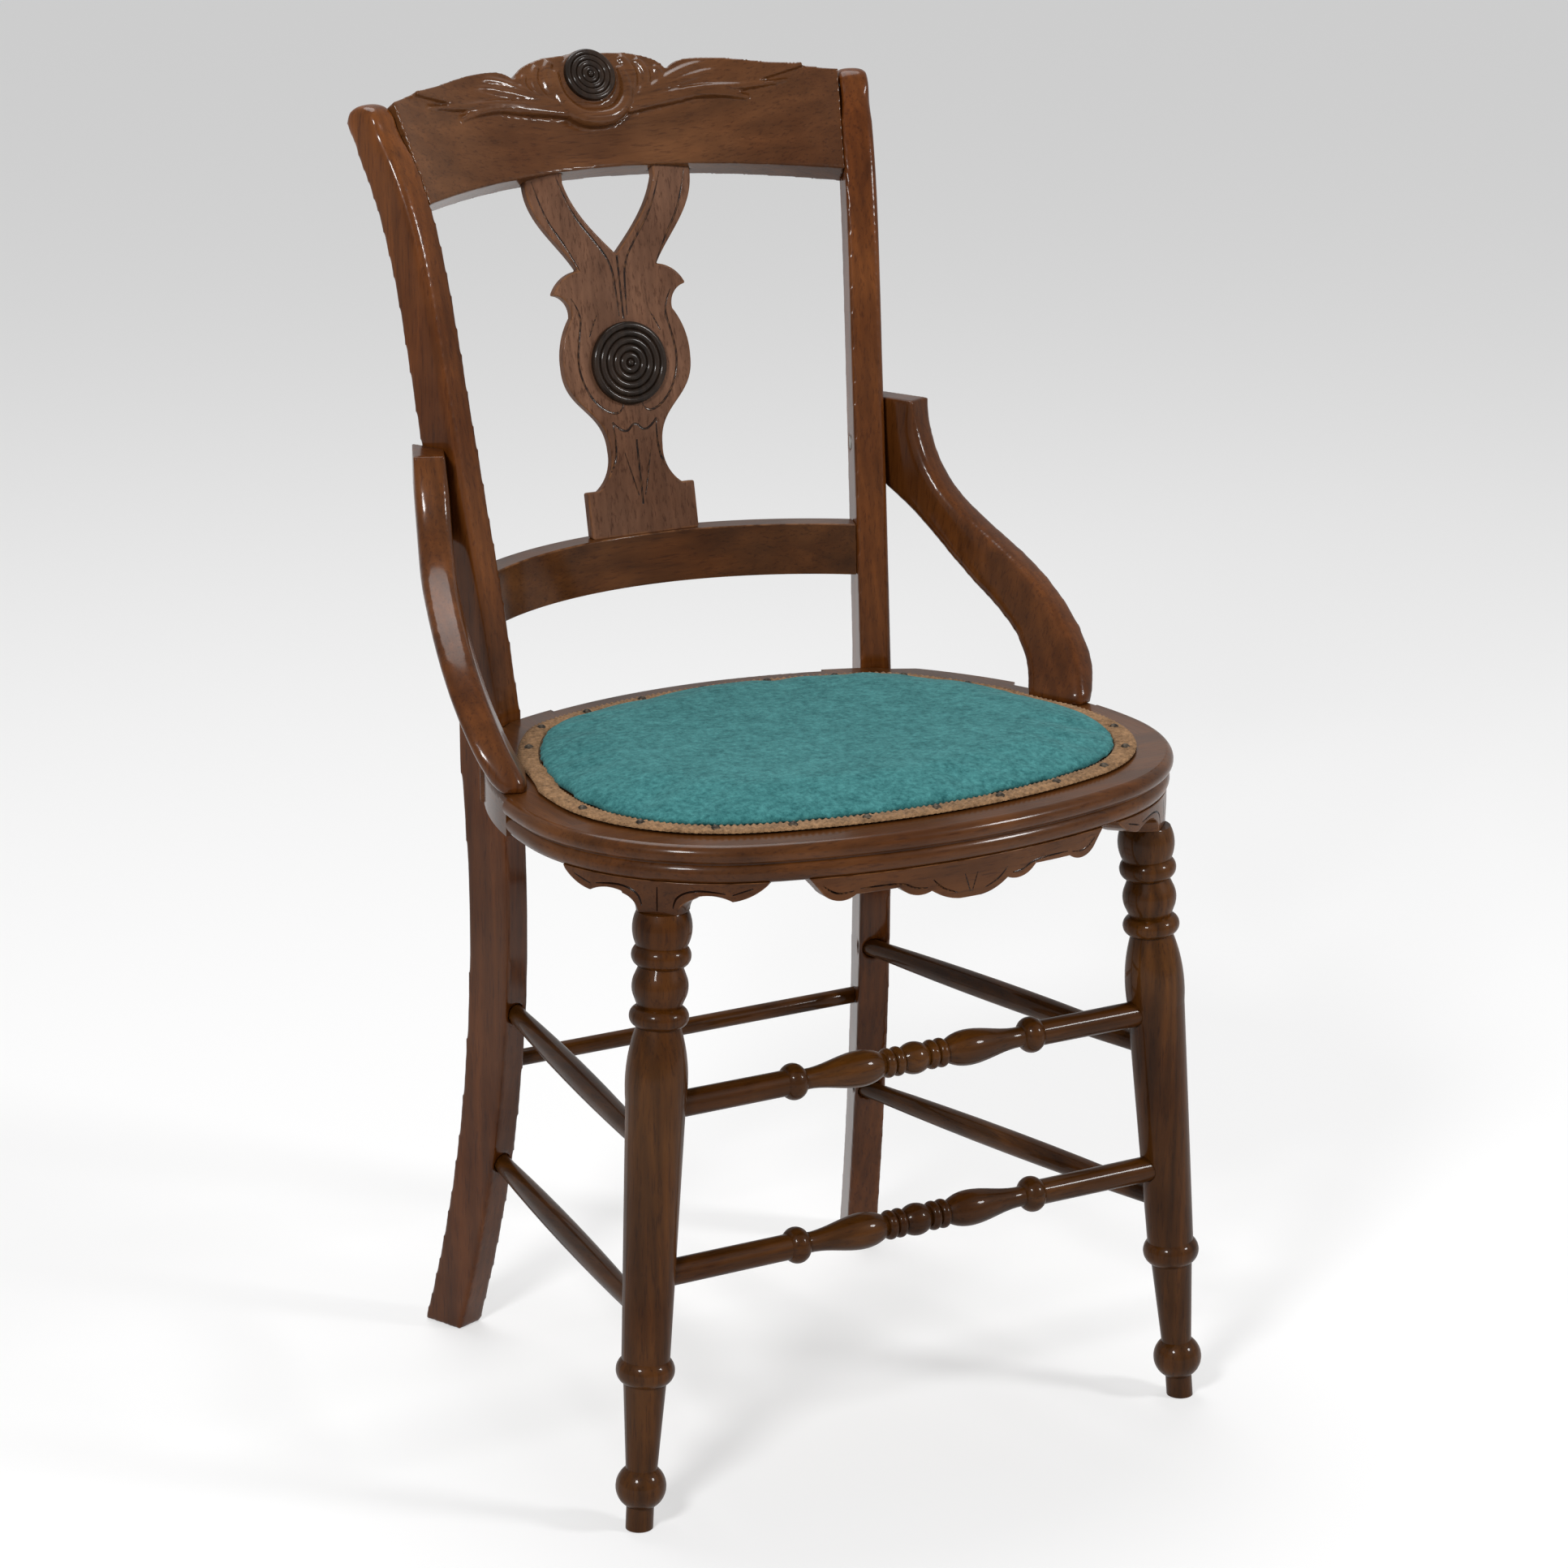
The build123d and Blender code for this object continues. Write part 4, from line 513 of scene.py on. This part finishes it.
# crest rail: the bowed board with leaf ribs, petals and the cup under the rosette carved into one surface
crest = {
    "middleY": 0.2012, "lowZ": 0.777, "lean": 0.58, "bend": 0.3196, "field": 0.004, "sink": 0.0034,
    "leaves": (
        (((8, 37), (36, 41), (66, 47), (92, 48.5), (109, 45)), (2.8, 3.0, 3.0, 2.8, 1.8)),
        (((18, 42), (46, 46), (80, 51), (112, 51.5), (137, 56)), (2.6, 3.0, 3.2, 2.4, 0.7)),
        (((28, 46), (50, 51), (74, 58), (92, 62), (112, 62)), (2.4, 3.0, 3.4, 2.8, 0.9)),
        (((38, 49), (56, 57), (72, 63.5), (86, 66.5), (102, 66)), (2.4, 3.0, 3.2, 2.8, 1.0)),
    ),
    "petals": (
        (((16, 41), (27, 47), (33, 56), (33, 66), (27, 72)), (2.6, 3.4, 4.0, 4.2, 3.4)),
        (((24, 43), (37, 49), (43, 57), (43, 65), (38, 70)), (2.4, 3.2, 3.6, 3.8, 3.0)),
        (((34, 46), (46, 51), (52, 57), (53, 62), (50, 65)), (2.2, 2.8, 3.2, 3.2, 2.4)),
    ),
    "cup": (
        ((-25, 66), (-29, 52), (-17, 37), (0, 34), (17, 37), (29, 52), (25, 66)),
        (3, 5, 6.2, 6.2, 6.2, 4.6, 3),
    ),
    "petalSink": 0.001, "voxel": 0.0011, "rubs": 3, "crease": 60,
}


def crestSpot(x, h, lift):
    # a place on the crest's front: x across and h up in millimetres, lift out of the surface in metres
    tilt = atan(crest["lean"])
    x, h = x / 1000, h / 1000
    sag = crest["bend"] - sqrt(crest["bend"] ** 2 - x ** 2)
    up = (h - sag * sin(tilt)) / cos(tilt)
    flat = sqrt(1 - (x / crest["bend"]) ** 2)
    out = Vector((-x / crest["bend"], -flat * cos(tilt), flat * sin(tilt)))
    return Vector((x, crest["middleY"] + up * sin(tilt) - sag * cos(tilt), crest["lowZ"] + h)) + out * lift


carved = []
for spots, radii in crest["leaves"]:
    # a leaf sinks into the board towards its tip
    ends = len(spots) - 1
    lifts = [crest["field"] - crest["sink"] * (k / ends) ** 2 for k in range(len(spots))]
    line = [crestSpot(x, h, lift) for (x, h), lift in zip(spots, lifts)]
    carved.append(drawTube("leaf", line, [r / 1000 for r in radii]))
for spots, radii in crest["petals"]:
    line = [crestSpot(x, h, crest["field"] - crest["petalSink"]) for x, h in spots]
    carved.append(drawTube("petal", line, [r / 1000 for r in radii]))
leafHalf = joinAll(carved, "leafHalf")
mirrorOver(leafHalf)
faceOut(leafHalf)
spots, radii = crest["cup"]
cup = drawTube("cup", [crestSpot(x, h, crest["field"]) for x, h in spots], [r / 1000 for r in radii])
crestRail = joinAll([copyNode("crest_rail", "crestRail"), leafHalf, cup], "crestRail")
onGrid(crestRail, crest["voxel"])
rubDown(crestRail, crest["rubs"])
applyAll(crestRail)
smoothBy(crestRail, crest["crease"])
settle(crestRail, woods["crest"], "walnut", "crest_rail")
print("crest rail carved", len(crestRail.data.polygons))

# boards with eased edges: node, ease and wood
boards = {
    "lower_back_rail": (0.0012, "rail"),
    "seat_apron": (0.0008, "rail"),
    "leg_bracket_left": (0.0006, "rail"),
    "leg_bracket_right": (0.0006, "rail"),
}

# curved fronts under the seat: centre in plan, radius, top and how far the front rises under the rail
fronts = {
    "seat_apron": ((0.0, 0.1569), 0.416, 0.418, 0.001),
    "leg_bracket_left": ((-0.0881, -0.1111), 0.1339, 0.418, 0.001),
    "leg_bracket_right": ((0.0881, -0.1111), 0.1339, 0.418, 0.001),
}


def pieceName(node):
    words = node.split("_")
    return words[0] + "".join(word.title() for word in words[1:])


eased = {}
for node, (width, wood) in boards.items():
    eased[node] = soften(node, pieceName(node), width, woods[wood], fronts.get(node))
print("boards eased")

# posts and hip rests, rounded by hand tools: grid, light rubs, more rubs between two heights, how far
# the rubbed piece is filled out again, and rubs of the foot's outline below a height
rounded = {
    "rear_post": {
        "wood": "post", "voxel": 0.0015, "rubs": 9, "more": 80, "from": 0.806, "to": 0.818, "end": 1.0,
        "fade": 0.02, "fill": 0.0, "sole": 0,
    },
    "hip_rest": {
        "wood": "hip", "voxel": 0.0014, "rubs": 4, "more": 90, "from": 0.4435, "to": 0.4475, "end": 0.6215,
        "fade": 0.024, "fill": 0.0012, "sole": 40, "soleZ": 0.449,
    },
}
# the front end of the right hip rest's foot: middle, way forward, way across and length of the rounding
nose = {
    "tip": (0.2137, -0.0707), "ahead": (0.407, -0.913), "across": (0.913, 0.407),
    "reach": 0.012, "blunt": 1.05,
}


def roundNose(piece, way):
    # way: 1 for the right hip rest, -1 for the left
    tip, ahead, across = (Vector((way * nose[k][0], nose[k][1], 0)) for k in ("tip", "ahead", "across"))
    for corner in piece.data.vertices:
        run = ((corner.co - tip).dot(ahead) + nose["reach"]) / nose["reach"]
        if run > 0:
            keep = sqrt(max(0.0, 1 - (run / nose["blunt"]) ** 2))
            corner.co += across * (corner.co - tip).dot(across) * (keep - 1)


def roundOver(node, plan):
    made = copyNode(node, pieceName(node))
    onGrid(made, plan["voxel"])
    applyAll(made)
    if plan["sole"]:
        roundNose(made, -1 if node.endswith("left") else 1)
    free = made.vertex_groups.new(name="free")
    for corner in made.data.vertices:
        share = (corner.co.z - plan["from"]) / (plan["to"] - plan["from"])
        share = min(share, (plan["end"] - corner.co.z) / plan["fade"])
        free.add([corner.index], min(1.0, max(0.0, share)), "REPLACE")
    rubDown(made, plan["rubs"])
    rubDown(made, plan["more"], "free")
    if plan["fill"]:
        fill = made.modifiers.new("fill", "DISPLACE")
        fill.strength = plan["fill"]
        fill.mid_level = 0.0
        fill.vertex_group = "free"
    if plan["sole"]:
        # the foot's outline is rounded in plan and still lies flat
        low = [corner.index for corner in made.data.vertices if corner.co.z < plan["soleZ"]]
        made.vertex_groups.new(name="low").add(low, 1.0, "REPLACE")
        rubDown(made, plan["sole"], "low").use_z = False
    applyAll(made)
    takeHold(made)
    bpy.ops.object.shade_smooth()
    settle(made, woods[plan["wood"]], "walnut", node)
    return made


for start, plan in rounded.items():
    for side in ("_left", "_right"):
        made = roundOver(start + side, plan)
        print("rounded", made.name, len(made.data.polygons))

# splat: eased board with incised lines, given on its face as x across and v up in millimetres
splat = {
    "foot": (0, 0.15358, 0.5396), "up": (0, 0.2112, 0.9774), "out": (0, -0.9774, 0.2112),
    "cut": 0.9, "proud": 0.25, "ease": 0.0014,
    "lines": (
        ((29, 181), (38, 199), (52, 219), (58, 243)),
        ((39, 243), (32, 221), (15, 199), (5, 184), (3.5, 166), (3, 148)),
        ((38, 163), (31, 152), (35, 136), (38.5, 116), (32, 96), (20, 84), (9, 82), (7, 89)),
        ((20, 150), (25, 141), (27, 136)),
        ((16.5, 76), (15, 58), (20, 44), (30, 37)),
        ((10, 56), (6, 40), (2.5, 26)),
    ),
    "middle": (
        ((0, 189), (0, 170), (0, 146)),
        ((0, 64), (0, 40), (0, 20)),
        ((-17, 77), (-8, 67), (0, 77), (8, 67), (17, 77)),
    ),
}


def splatSpot(x, v, lift):
    foot, up, out = Vector(splat["foot"]), Vector(splat["up"]), Vector(splat["out"])
    return foot + Vector((x / 1000, 0, 0)) + up * (v / 1000) + out * lift


def makeCutter(line, fine, tapered=True):
    # a thin round tool along a line, half as thick at tapered ends
    tip = fine * 0.5 if tapered else fine
    return drawTube("cutter", line, [tip] + [fine] * (len(line) - 2) + [tip], smooth=6, rounds=1)


def incise(piece, cutters):
    # the cut takes the cutter's material, painted shade that darkens the groove
    tool = joinAll(cutters, "tool")
    tool.data.materials.clear()
    tool.data.materials.append(woods["groove"])
    cut = piece.modifiers.new("incise", "BOOLEAN")
    cut.operation = "DIFFERENCE"
    cut.solver = "EXACT"
    cut.use_self = True
    cut.material_mode = "TRANSFER"
    cut.object = tool
    applyAll(piece)
    takeHold(tool)
    bpy.ops.object.delete()


backSplat = soften("back_splat", "backSplat", splat["ease"], woods["splat"])
fine = splat["cut"] / 1000
proud = fine * splat["proud"]
cutters = []
for way in (1, -1):
    for spots in splat["lines"]:
        cutters.append(makeCutter([splatSpot(way * x, v, proud) for x, v in spots], fine))
for spots in splat["middle"]:
    cutters.append(makeCutter([splatSpot(x, v, proud) for x, v in spots], fine, tapered=False))
incise(backSplat, cutters)
evenShade(backSplat)
print("splat incised", len(backSplat.data.polygons))

# cut lines on the apron and the fan brackets: run along the front and drop from the top, in millimetres
cuts = {
    "fine": 0.75, "apronShift": 5.0, "fanTurn": -43.95,
    "apron": (
        ((0.6, 20), (2.6, 14), (4.6, 8)),
        ((10, 19), (18, 16.4), (24, 12), (27, 8.5)),
        ((31, 13), (39, 13), (46, 8.5), (60, 7.4), (76, 8)),
        ((80, 9), (88, 10.8), (96, 7.6), (100, 4)),
    ),
    "fan": (
        ((10, 15.5), (10.6, 11.5), (13.4, 7.4), (19.5, 4.4), (30, 3.4), (42, 5.6)),
        ((46, 6.5), (52, 4.6), (59, 2.6)),
    ),
    "stem": ((0, 2.5), (0, 10), (0, 18)),
}


def frontSpot(node, run, drop, turn):
    # a place on a curved front, run millimetres round from the given turn
    (cx, cy), radius, top = fronts[node][:3]
    angle = turn + run / 1000 / radius
    return Vector((cx + radius * cos(angle), cy + radius * sin(angle), top - drop / 1000))


fanTurn = radians(cuts["fanTurn"])
fronted = {
    "seat_apron": (cuts["apron"], -pi / 2 + cuts["apronShift"] / 1000 / fronts["seat_apron"][1]),
    "leg_bracket_left": (cuts["fan"], -pi - fanTurn),
    "leg_bracket_right": (cuts["fan"], fanTurn),
}
for node, (lines, turn) in fronted.items():
    cutters = []
    strokes = [[(way * run, drop) for run, drop in spots] for spots in lines for way in (1, -1)]
    if node != "seat_apron":
        strokes.append(cuts["stem"])
    for spots in strokes:
        line = [frontSpot(node, run, drop, turn) for run, drop in spots]
        cutters.append(makeCutter(line, cuts["fine"] / 1000))
    incise(eased[node], cutters)
    evenShade(eased[node])
    print("cut lines on", node, len(eased[node].data.polygons))

# CAD nodes that keep their shape: finish by node
dressed = {
    "front_leg": "leg", "front_stretcher": "rod", "rear_stretcher": "rod", "side_stretcher": "sideRod",
    "seat_front_rail": "rail", "seat_back_rail": "rail", "seat_side_rail": "sideRail",
    "crest_rosette": "ebony", "splat_roundel": "ebony", "seat_panel": "bare",
    "rail_dowels": "bare", "seat_post_dowels": "bare",
}
for node, solid in nodes.items():
    for start, wood in dressed.items():
        if node.startswith(start):
            solid.material_slots[0].material = woods[wood]
nodes["gimp_tacks"].material_slots[0].material = metals["tack"]
nodes["hip_rest_screws"].material_slots[0].material = metals["screw"]
print("nodes dressed")

# seat pad: the stuffing's crown blown up as cloth, held where it lies on the panel
pad = {
    "voxel": 0.005, "pressure": 4.0, "frames": 20, "cap": 0.005, "floorZ": 0.4445, "topZ": 0.4595,
    "rubs": 4, "fill": 0.8, "reach": 0.0034, "rimZ": 0.4475, "behindFeet": 0.13, "still": 0.08,
}
seatPad = copyNode("seat_pad", "seatPad")
onGrid(seatPad, pad["voxel"])
applyAll(seatPad)
start = [corner.co.copy() for corner in seatPad.data.vertices]
held = seatPad.vertex_groups.new(name="held")
held.add([i for i, place in enumerate(start) if place.z < pad["floorZ"]], 1.0, "REPLACE")
blown = seatPad.modifiers.new("blown", "CLOTH")
blown.settings.use_pressure = True
blown.settings.uniform_pressure_force = pad["pressure"]
blown.settings.vertex_group_mass = "held"
blown.settings.effector_weights.gravity = 0
for step in range(1, pad["frames"] + 1):
    scene.frame_set(step)
applyAll(seatPad)
scene.frame_set(1)
for corner, first in zip(seatPad.data.vertices, start):
    moved = corner.co - first
    if moved.length > pad["cap"]:
        moved *= pad["cap"] / moved.length
    corner.co = first + moved
    corner.co.z = min(corner.co.z, pad["topZ"])
rubDown(seatPad, pad["rubs"])
finer = seatPad.modifiers.new("finer", "SUBSURF")
finer.levels = 1
finer.render_levels = 1
applyAll(seatPad)
takeHold(seatPad)
bpy.ops.object.shade_smooth()
for corner in seatPad.data.vertices:
    # the velvet's rim is drawn out to the braid
    share = min(1.0, max(0.0, (pad["topZ"] - corner.co.z) / (pad["topZ"] - pad["rimZ"])))
    away = Vector((corner.co.x, corner.co.y - feetLine - pad["behindFeet"], 0))
    if away.length > pad["still"]:
        corner.co += away.normalized() * pad["reach"] * share
settle(seatPad, cloths["velvet"], "velvet", "seat_pad", "seat_cover")
print("seat pad blown", len(seatPad.data.polygons))

# gimp: a ribbed braid that follows the seat's outline just outside the velvet
gimp = {
    "inset": 0.0312, "half": 0.007, "low": 0.4444, "high": 0.4461, "rib": 0.0042, "ripple": 0.0006,
    "foot": (0.2035, -0.045), "give": 0.0045, "giveReach": 0.034, "steps": 1400,
    "across": (-1.0, -0.9, -0.55, -0.2, 0.2, 0.55, 0.9, 1.0), "slant": 3.0, "crown": 0.0004, "lip": 0.0004,
    "crease": 50,
}
outline = {
    "front": (0.0, 0.1569, 0.42), "corner": (0.0881, -0.1111, 0.1379), "side": (-0.0523, -0.1111, 0.2783),
    "rear": (0.0, -0.2311, 0.345), "bend": 0.058,
}


def circlesMeet(a, ra, b, rb):
    apart = hypot(a[0] - b[0], a[1] - b[1])
    along = (apart ** 2 + rb ** 2 - ra ** 2) / (2 * apart)
    aside = sqrt(rb ** 2 - along ** 2)
    ux, uy = (a[0] - b[0]) / apart, (a[1] - b[1]) / apart
    return b[0] + along * ux + aside * uy, b[1] + along * uy - aside * ux


def seatArcs(inset):
    # the right half of the seat's outline as arcs: centre, radius, first and last angle
    front, corner, side, rear = (outline[part] for part in ("front", "corner", "side", "rear"))
    turn = atan2(corner[1] - front[1], corner[0] - front[0])
    room = inset + outline["bend"]
    bend = circlesMeet(side, side[2] - room, rear, rear[2] - room)
    sideTurn = atan2(bend[1] - side[1], bend[0] - side[0])
    rearTurn = atan2(bend[1] - rear[1], bend[0] - rear[0])
    return (
        (front, front[2] - inset, -pi / 2, turn),
        (corner, corner[2] - inset, turn, 0.0),
        (side, side[2] - inset, 0.0, sideTurn),
        (bend, outline["bend"], sideTurn, rearTurn),
        (rear, rear[2] - inset, rearTurn, pi / 2),
    )


def seatWalk(inset, steps):
    # even steps round the whole outline: place, outward way and run
    arcs = seatArcs(inset)
    half = sum(radius * (stop - first) for centre, radius, first, stop in arcs)
    walk = []
    for step in range(steps):
        run = 2 * half * step / steps
        way = 1 if run <= half else -1
        left = run if way > 0 else 2 * half - run
        for centre, radius, first, stop in arcs:
            length = radius * (stop - first)
            if left <= length or centre is arcs[-1][0]:
                angle = first + left / radius
                out = Vector((way * cos(angle), sin(angle), 0))
                walk.append((Vector((way * centre[0], centre[1], 0)) + out * radius, out, run))
                break
            left -= length
    return walk


points, faces = [], []
walk = seatWalk(gimp["inset"], gimp["steps"])
for spot, out, run in walk:
    # the braid gives way inwards at the feet of the hip rests
    away = hypot(abs(spot.x) - gimp["foot"][0], spot.y - gimp["foot"][1])
    inwards = gimp["give"] * max(0.0, 1 - (away / gimp["giveReach"]) ** 2)
    for place in gimp["across"]:
        twist = gimp["ripple"] * sin(2 * pi * run / gimp["rib"] + gimp["slant"] * place)
        if abs(place) == 1.0:
            wave, z = twist, gimp["low"] + gimp["lip"]
        else:
            wave, z = 0.0, gimp["high"] - gimp["crown"] * place ** 2 + twist
        points.append(spot + out * (place * gimp["half"] - inwards + wave) + Vector((0, 0, z)))
    for place in (1.0, -1.0):
        points.append(spot + out * (place * gimp["half"] - inwards) + Vector((0, 0, gimp["low"])))
count = len(gimp["across"]) + 2
for step in range(len(walk)):
    after = (step + 1) % len(walk)
    for j in range(count):
        k = (j + 1) % count
        faces.append((step * count + j, after * count + j, after * count + k, step * count + k))
braid = bpy.data.meshes.new("seatGimp")
braid.from_pydata([tuple(p) for p in points], [], faces)
seatGimp = bpy.data.objects.new("seatGimp", braid)
scene.collection.objects.link(seatGimp)
faceOut(seatGimp)
smoothBy(seatGimp, gimp["crease"])
settle(seatGimp, cloths["braid"], "braid", "seat_gimp")
print("gimp laid", len(seatGimp.data.polygons))

# floor, lamps and view
stageSet = {
    "size": 400.0, "below": 0.0005, "pale": 0.9, "world": 0.2, "sky": 0.58, "glow": 0.5, "aimZ": 0.45,
}


def seenRays(tree):
    # 1 for rays that show what lies behind the chair, straight or in a reflection
    rays = addNode(tree, "ShaderNodeLightPath")
    seen = rays.outputs["Is Camera Ray"]
    for ray in ("Is Glossy Ray", "Is Transmission Ray"):
        either = addNode(tree, "ShaderNodeMath", operation="MAXIMUM")
        tree.links.new(seen, either.inputs[0])
        tree.links.new(rays.outputs[ray], either.inputs[1])
        seen = either.outputs[0]
    return seen


letGo()
bpy.ops.mesh.primitive_plane_add(size=stageSet["size"], location=(0, 0, -stageSet["below"]))
floor = bpy.context.object
floor.name = "floor"
floorPaint = bpy.data.materials.new("floorPaint")
floorPaint.use_nodes = True
paint = floorPaint.node_tree
matt = paint.nodes["Principled BSDF"]
matt.inputs["Base Color"].default_value = (*[stageSet["pale"]] * 3, 1)
matt.inputs["Roughness"].default_value = 0.9
glowShare = addNode(paint, "ShaderNodeMath", operation="MULTIPLY", in_1=stageSet["glow"])
paint.links.new(seenRays(paint), glowShare.inputs[0])
white = addNode(paint, "ShaderNodeEmission", in_Strength=1.0)
paleMix = addNode(paint, "ShaderNodeMixShader")
paint.links.new(glowShare.outputs[0], paleMix.inputs[0])
paint.links.new(matt.outputs[0], paleMix.inputs[1])
paint.links.new(white.outputs[0], paleMix.inputs[2])
paint.links.new(paleMix.outputs[0], paint.nodes["Material Output"].inputs["Surface"])
floor.data.materials.append(floorPaint)
lamps = {  # place, width in metres and watts
    "leftWindow": ((-2.0, -1.6, 2.1), 0.6, 58.0),
    "rightWindow": ((1.9, -2.1, 1.9), 0.6, 48.0),
    "above": ((0.2, 1.0, 3.0), 2.0, 50.0),
}
for name, (place, size, power) in lamps.items():
    letGo()
    bpy.ops.object.light_add(type="AREA", location=place)
    lamp = bpy.context.object
    lamp.name = name
    lamp.data.shape = "DISK"
    lamp.data.size = size
    lamp.data.energy = power
    aim = Vector((0, 0, stageSet["aimZ"])) - Vector(place)
    lamp.rotation_euler = aim.to_track_quat("-Z", "Y").to_euler()
world = bpy.data.worlds.new("studio")
scene.world = world
world.use_nodes = True
sky = world.node_tree
sky.nodes["Background"].inputs["Color"].default_value = (1.0, 1.0, 1.0, 1)
skyLevel = addNode(sky, "ShaderNodeMapRange")
skyLevel.inputs["To Min"].default_value = stageSet["world"]
skyLevel.inputs["To Max"].default_value = stageSet["sky"]
sky.links.new(seenRays(sky), skyLevel.inputs["Value"])
sky.links.new(skyLevel.outputs[0], sky.nodes["Background"].inputs["Strength"])
scene.view_settings.view_transform = "Standard"
print("stage lit")
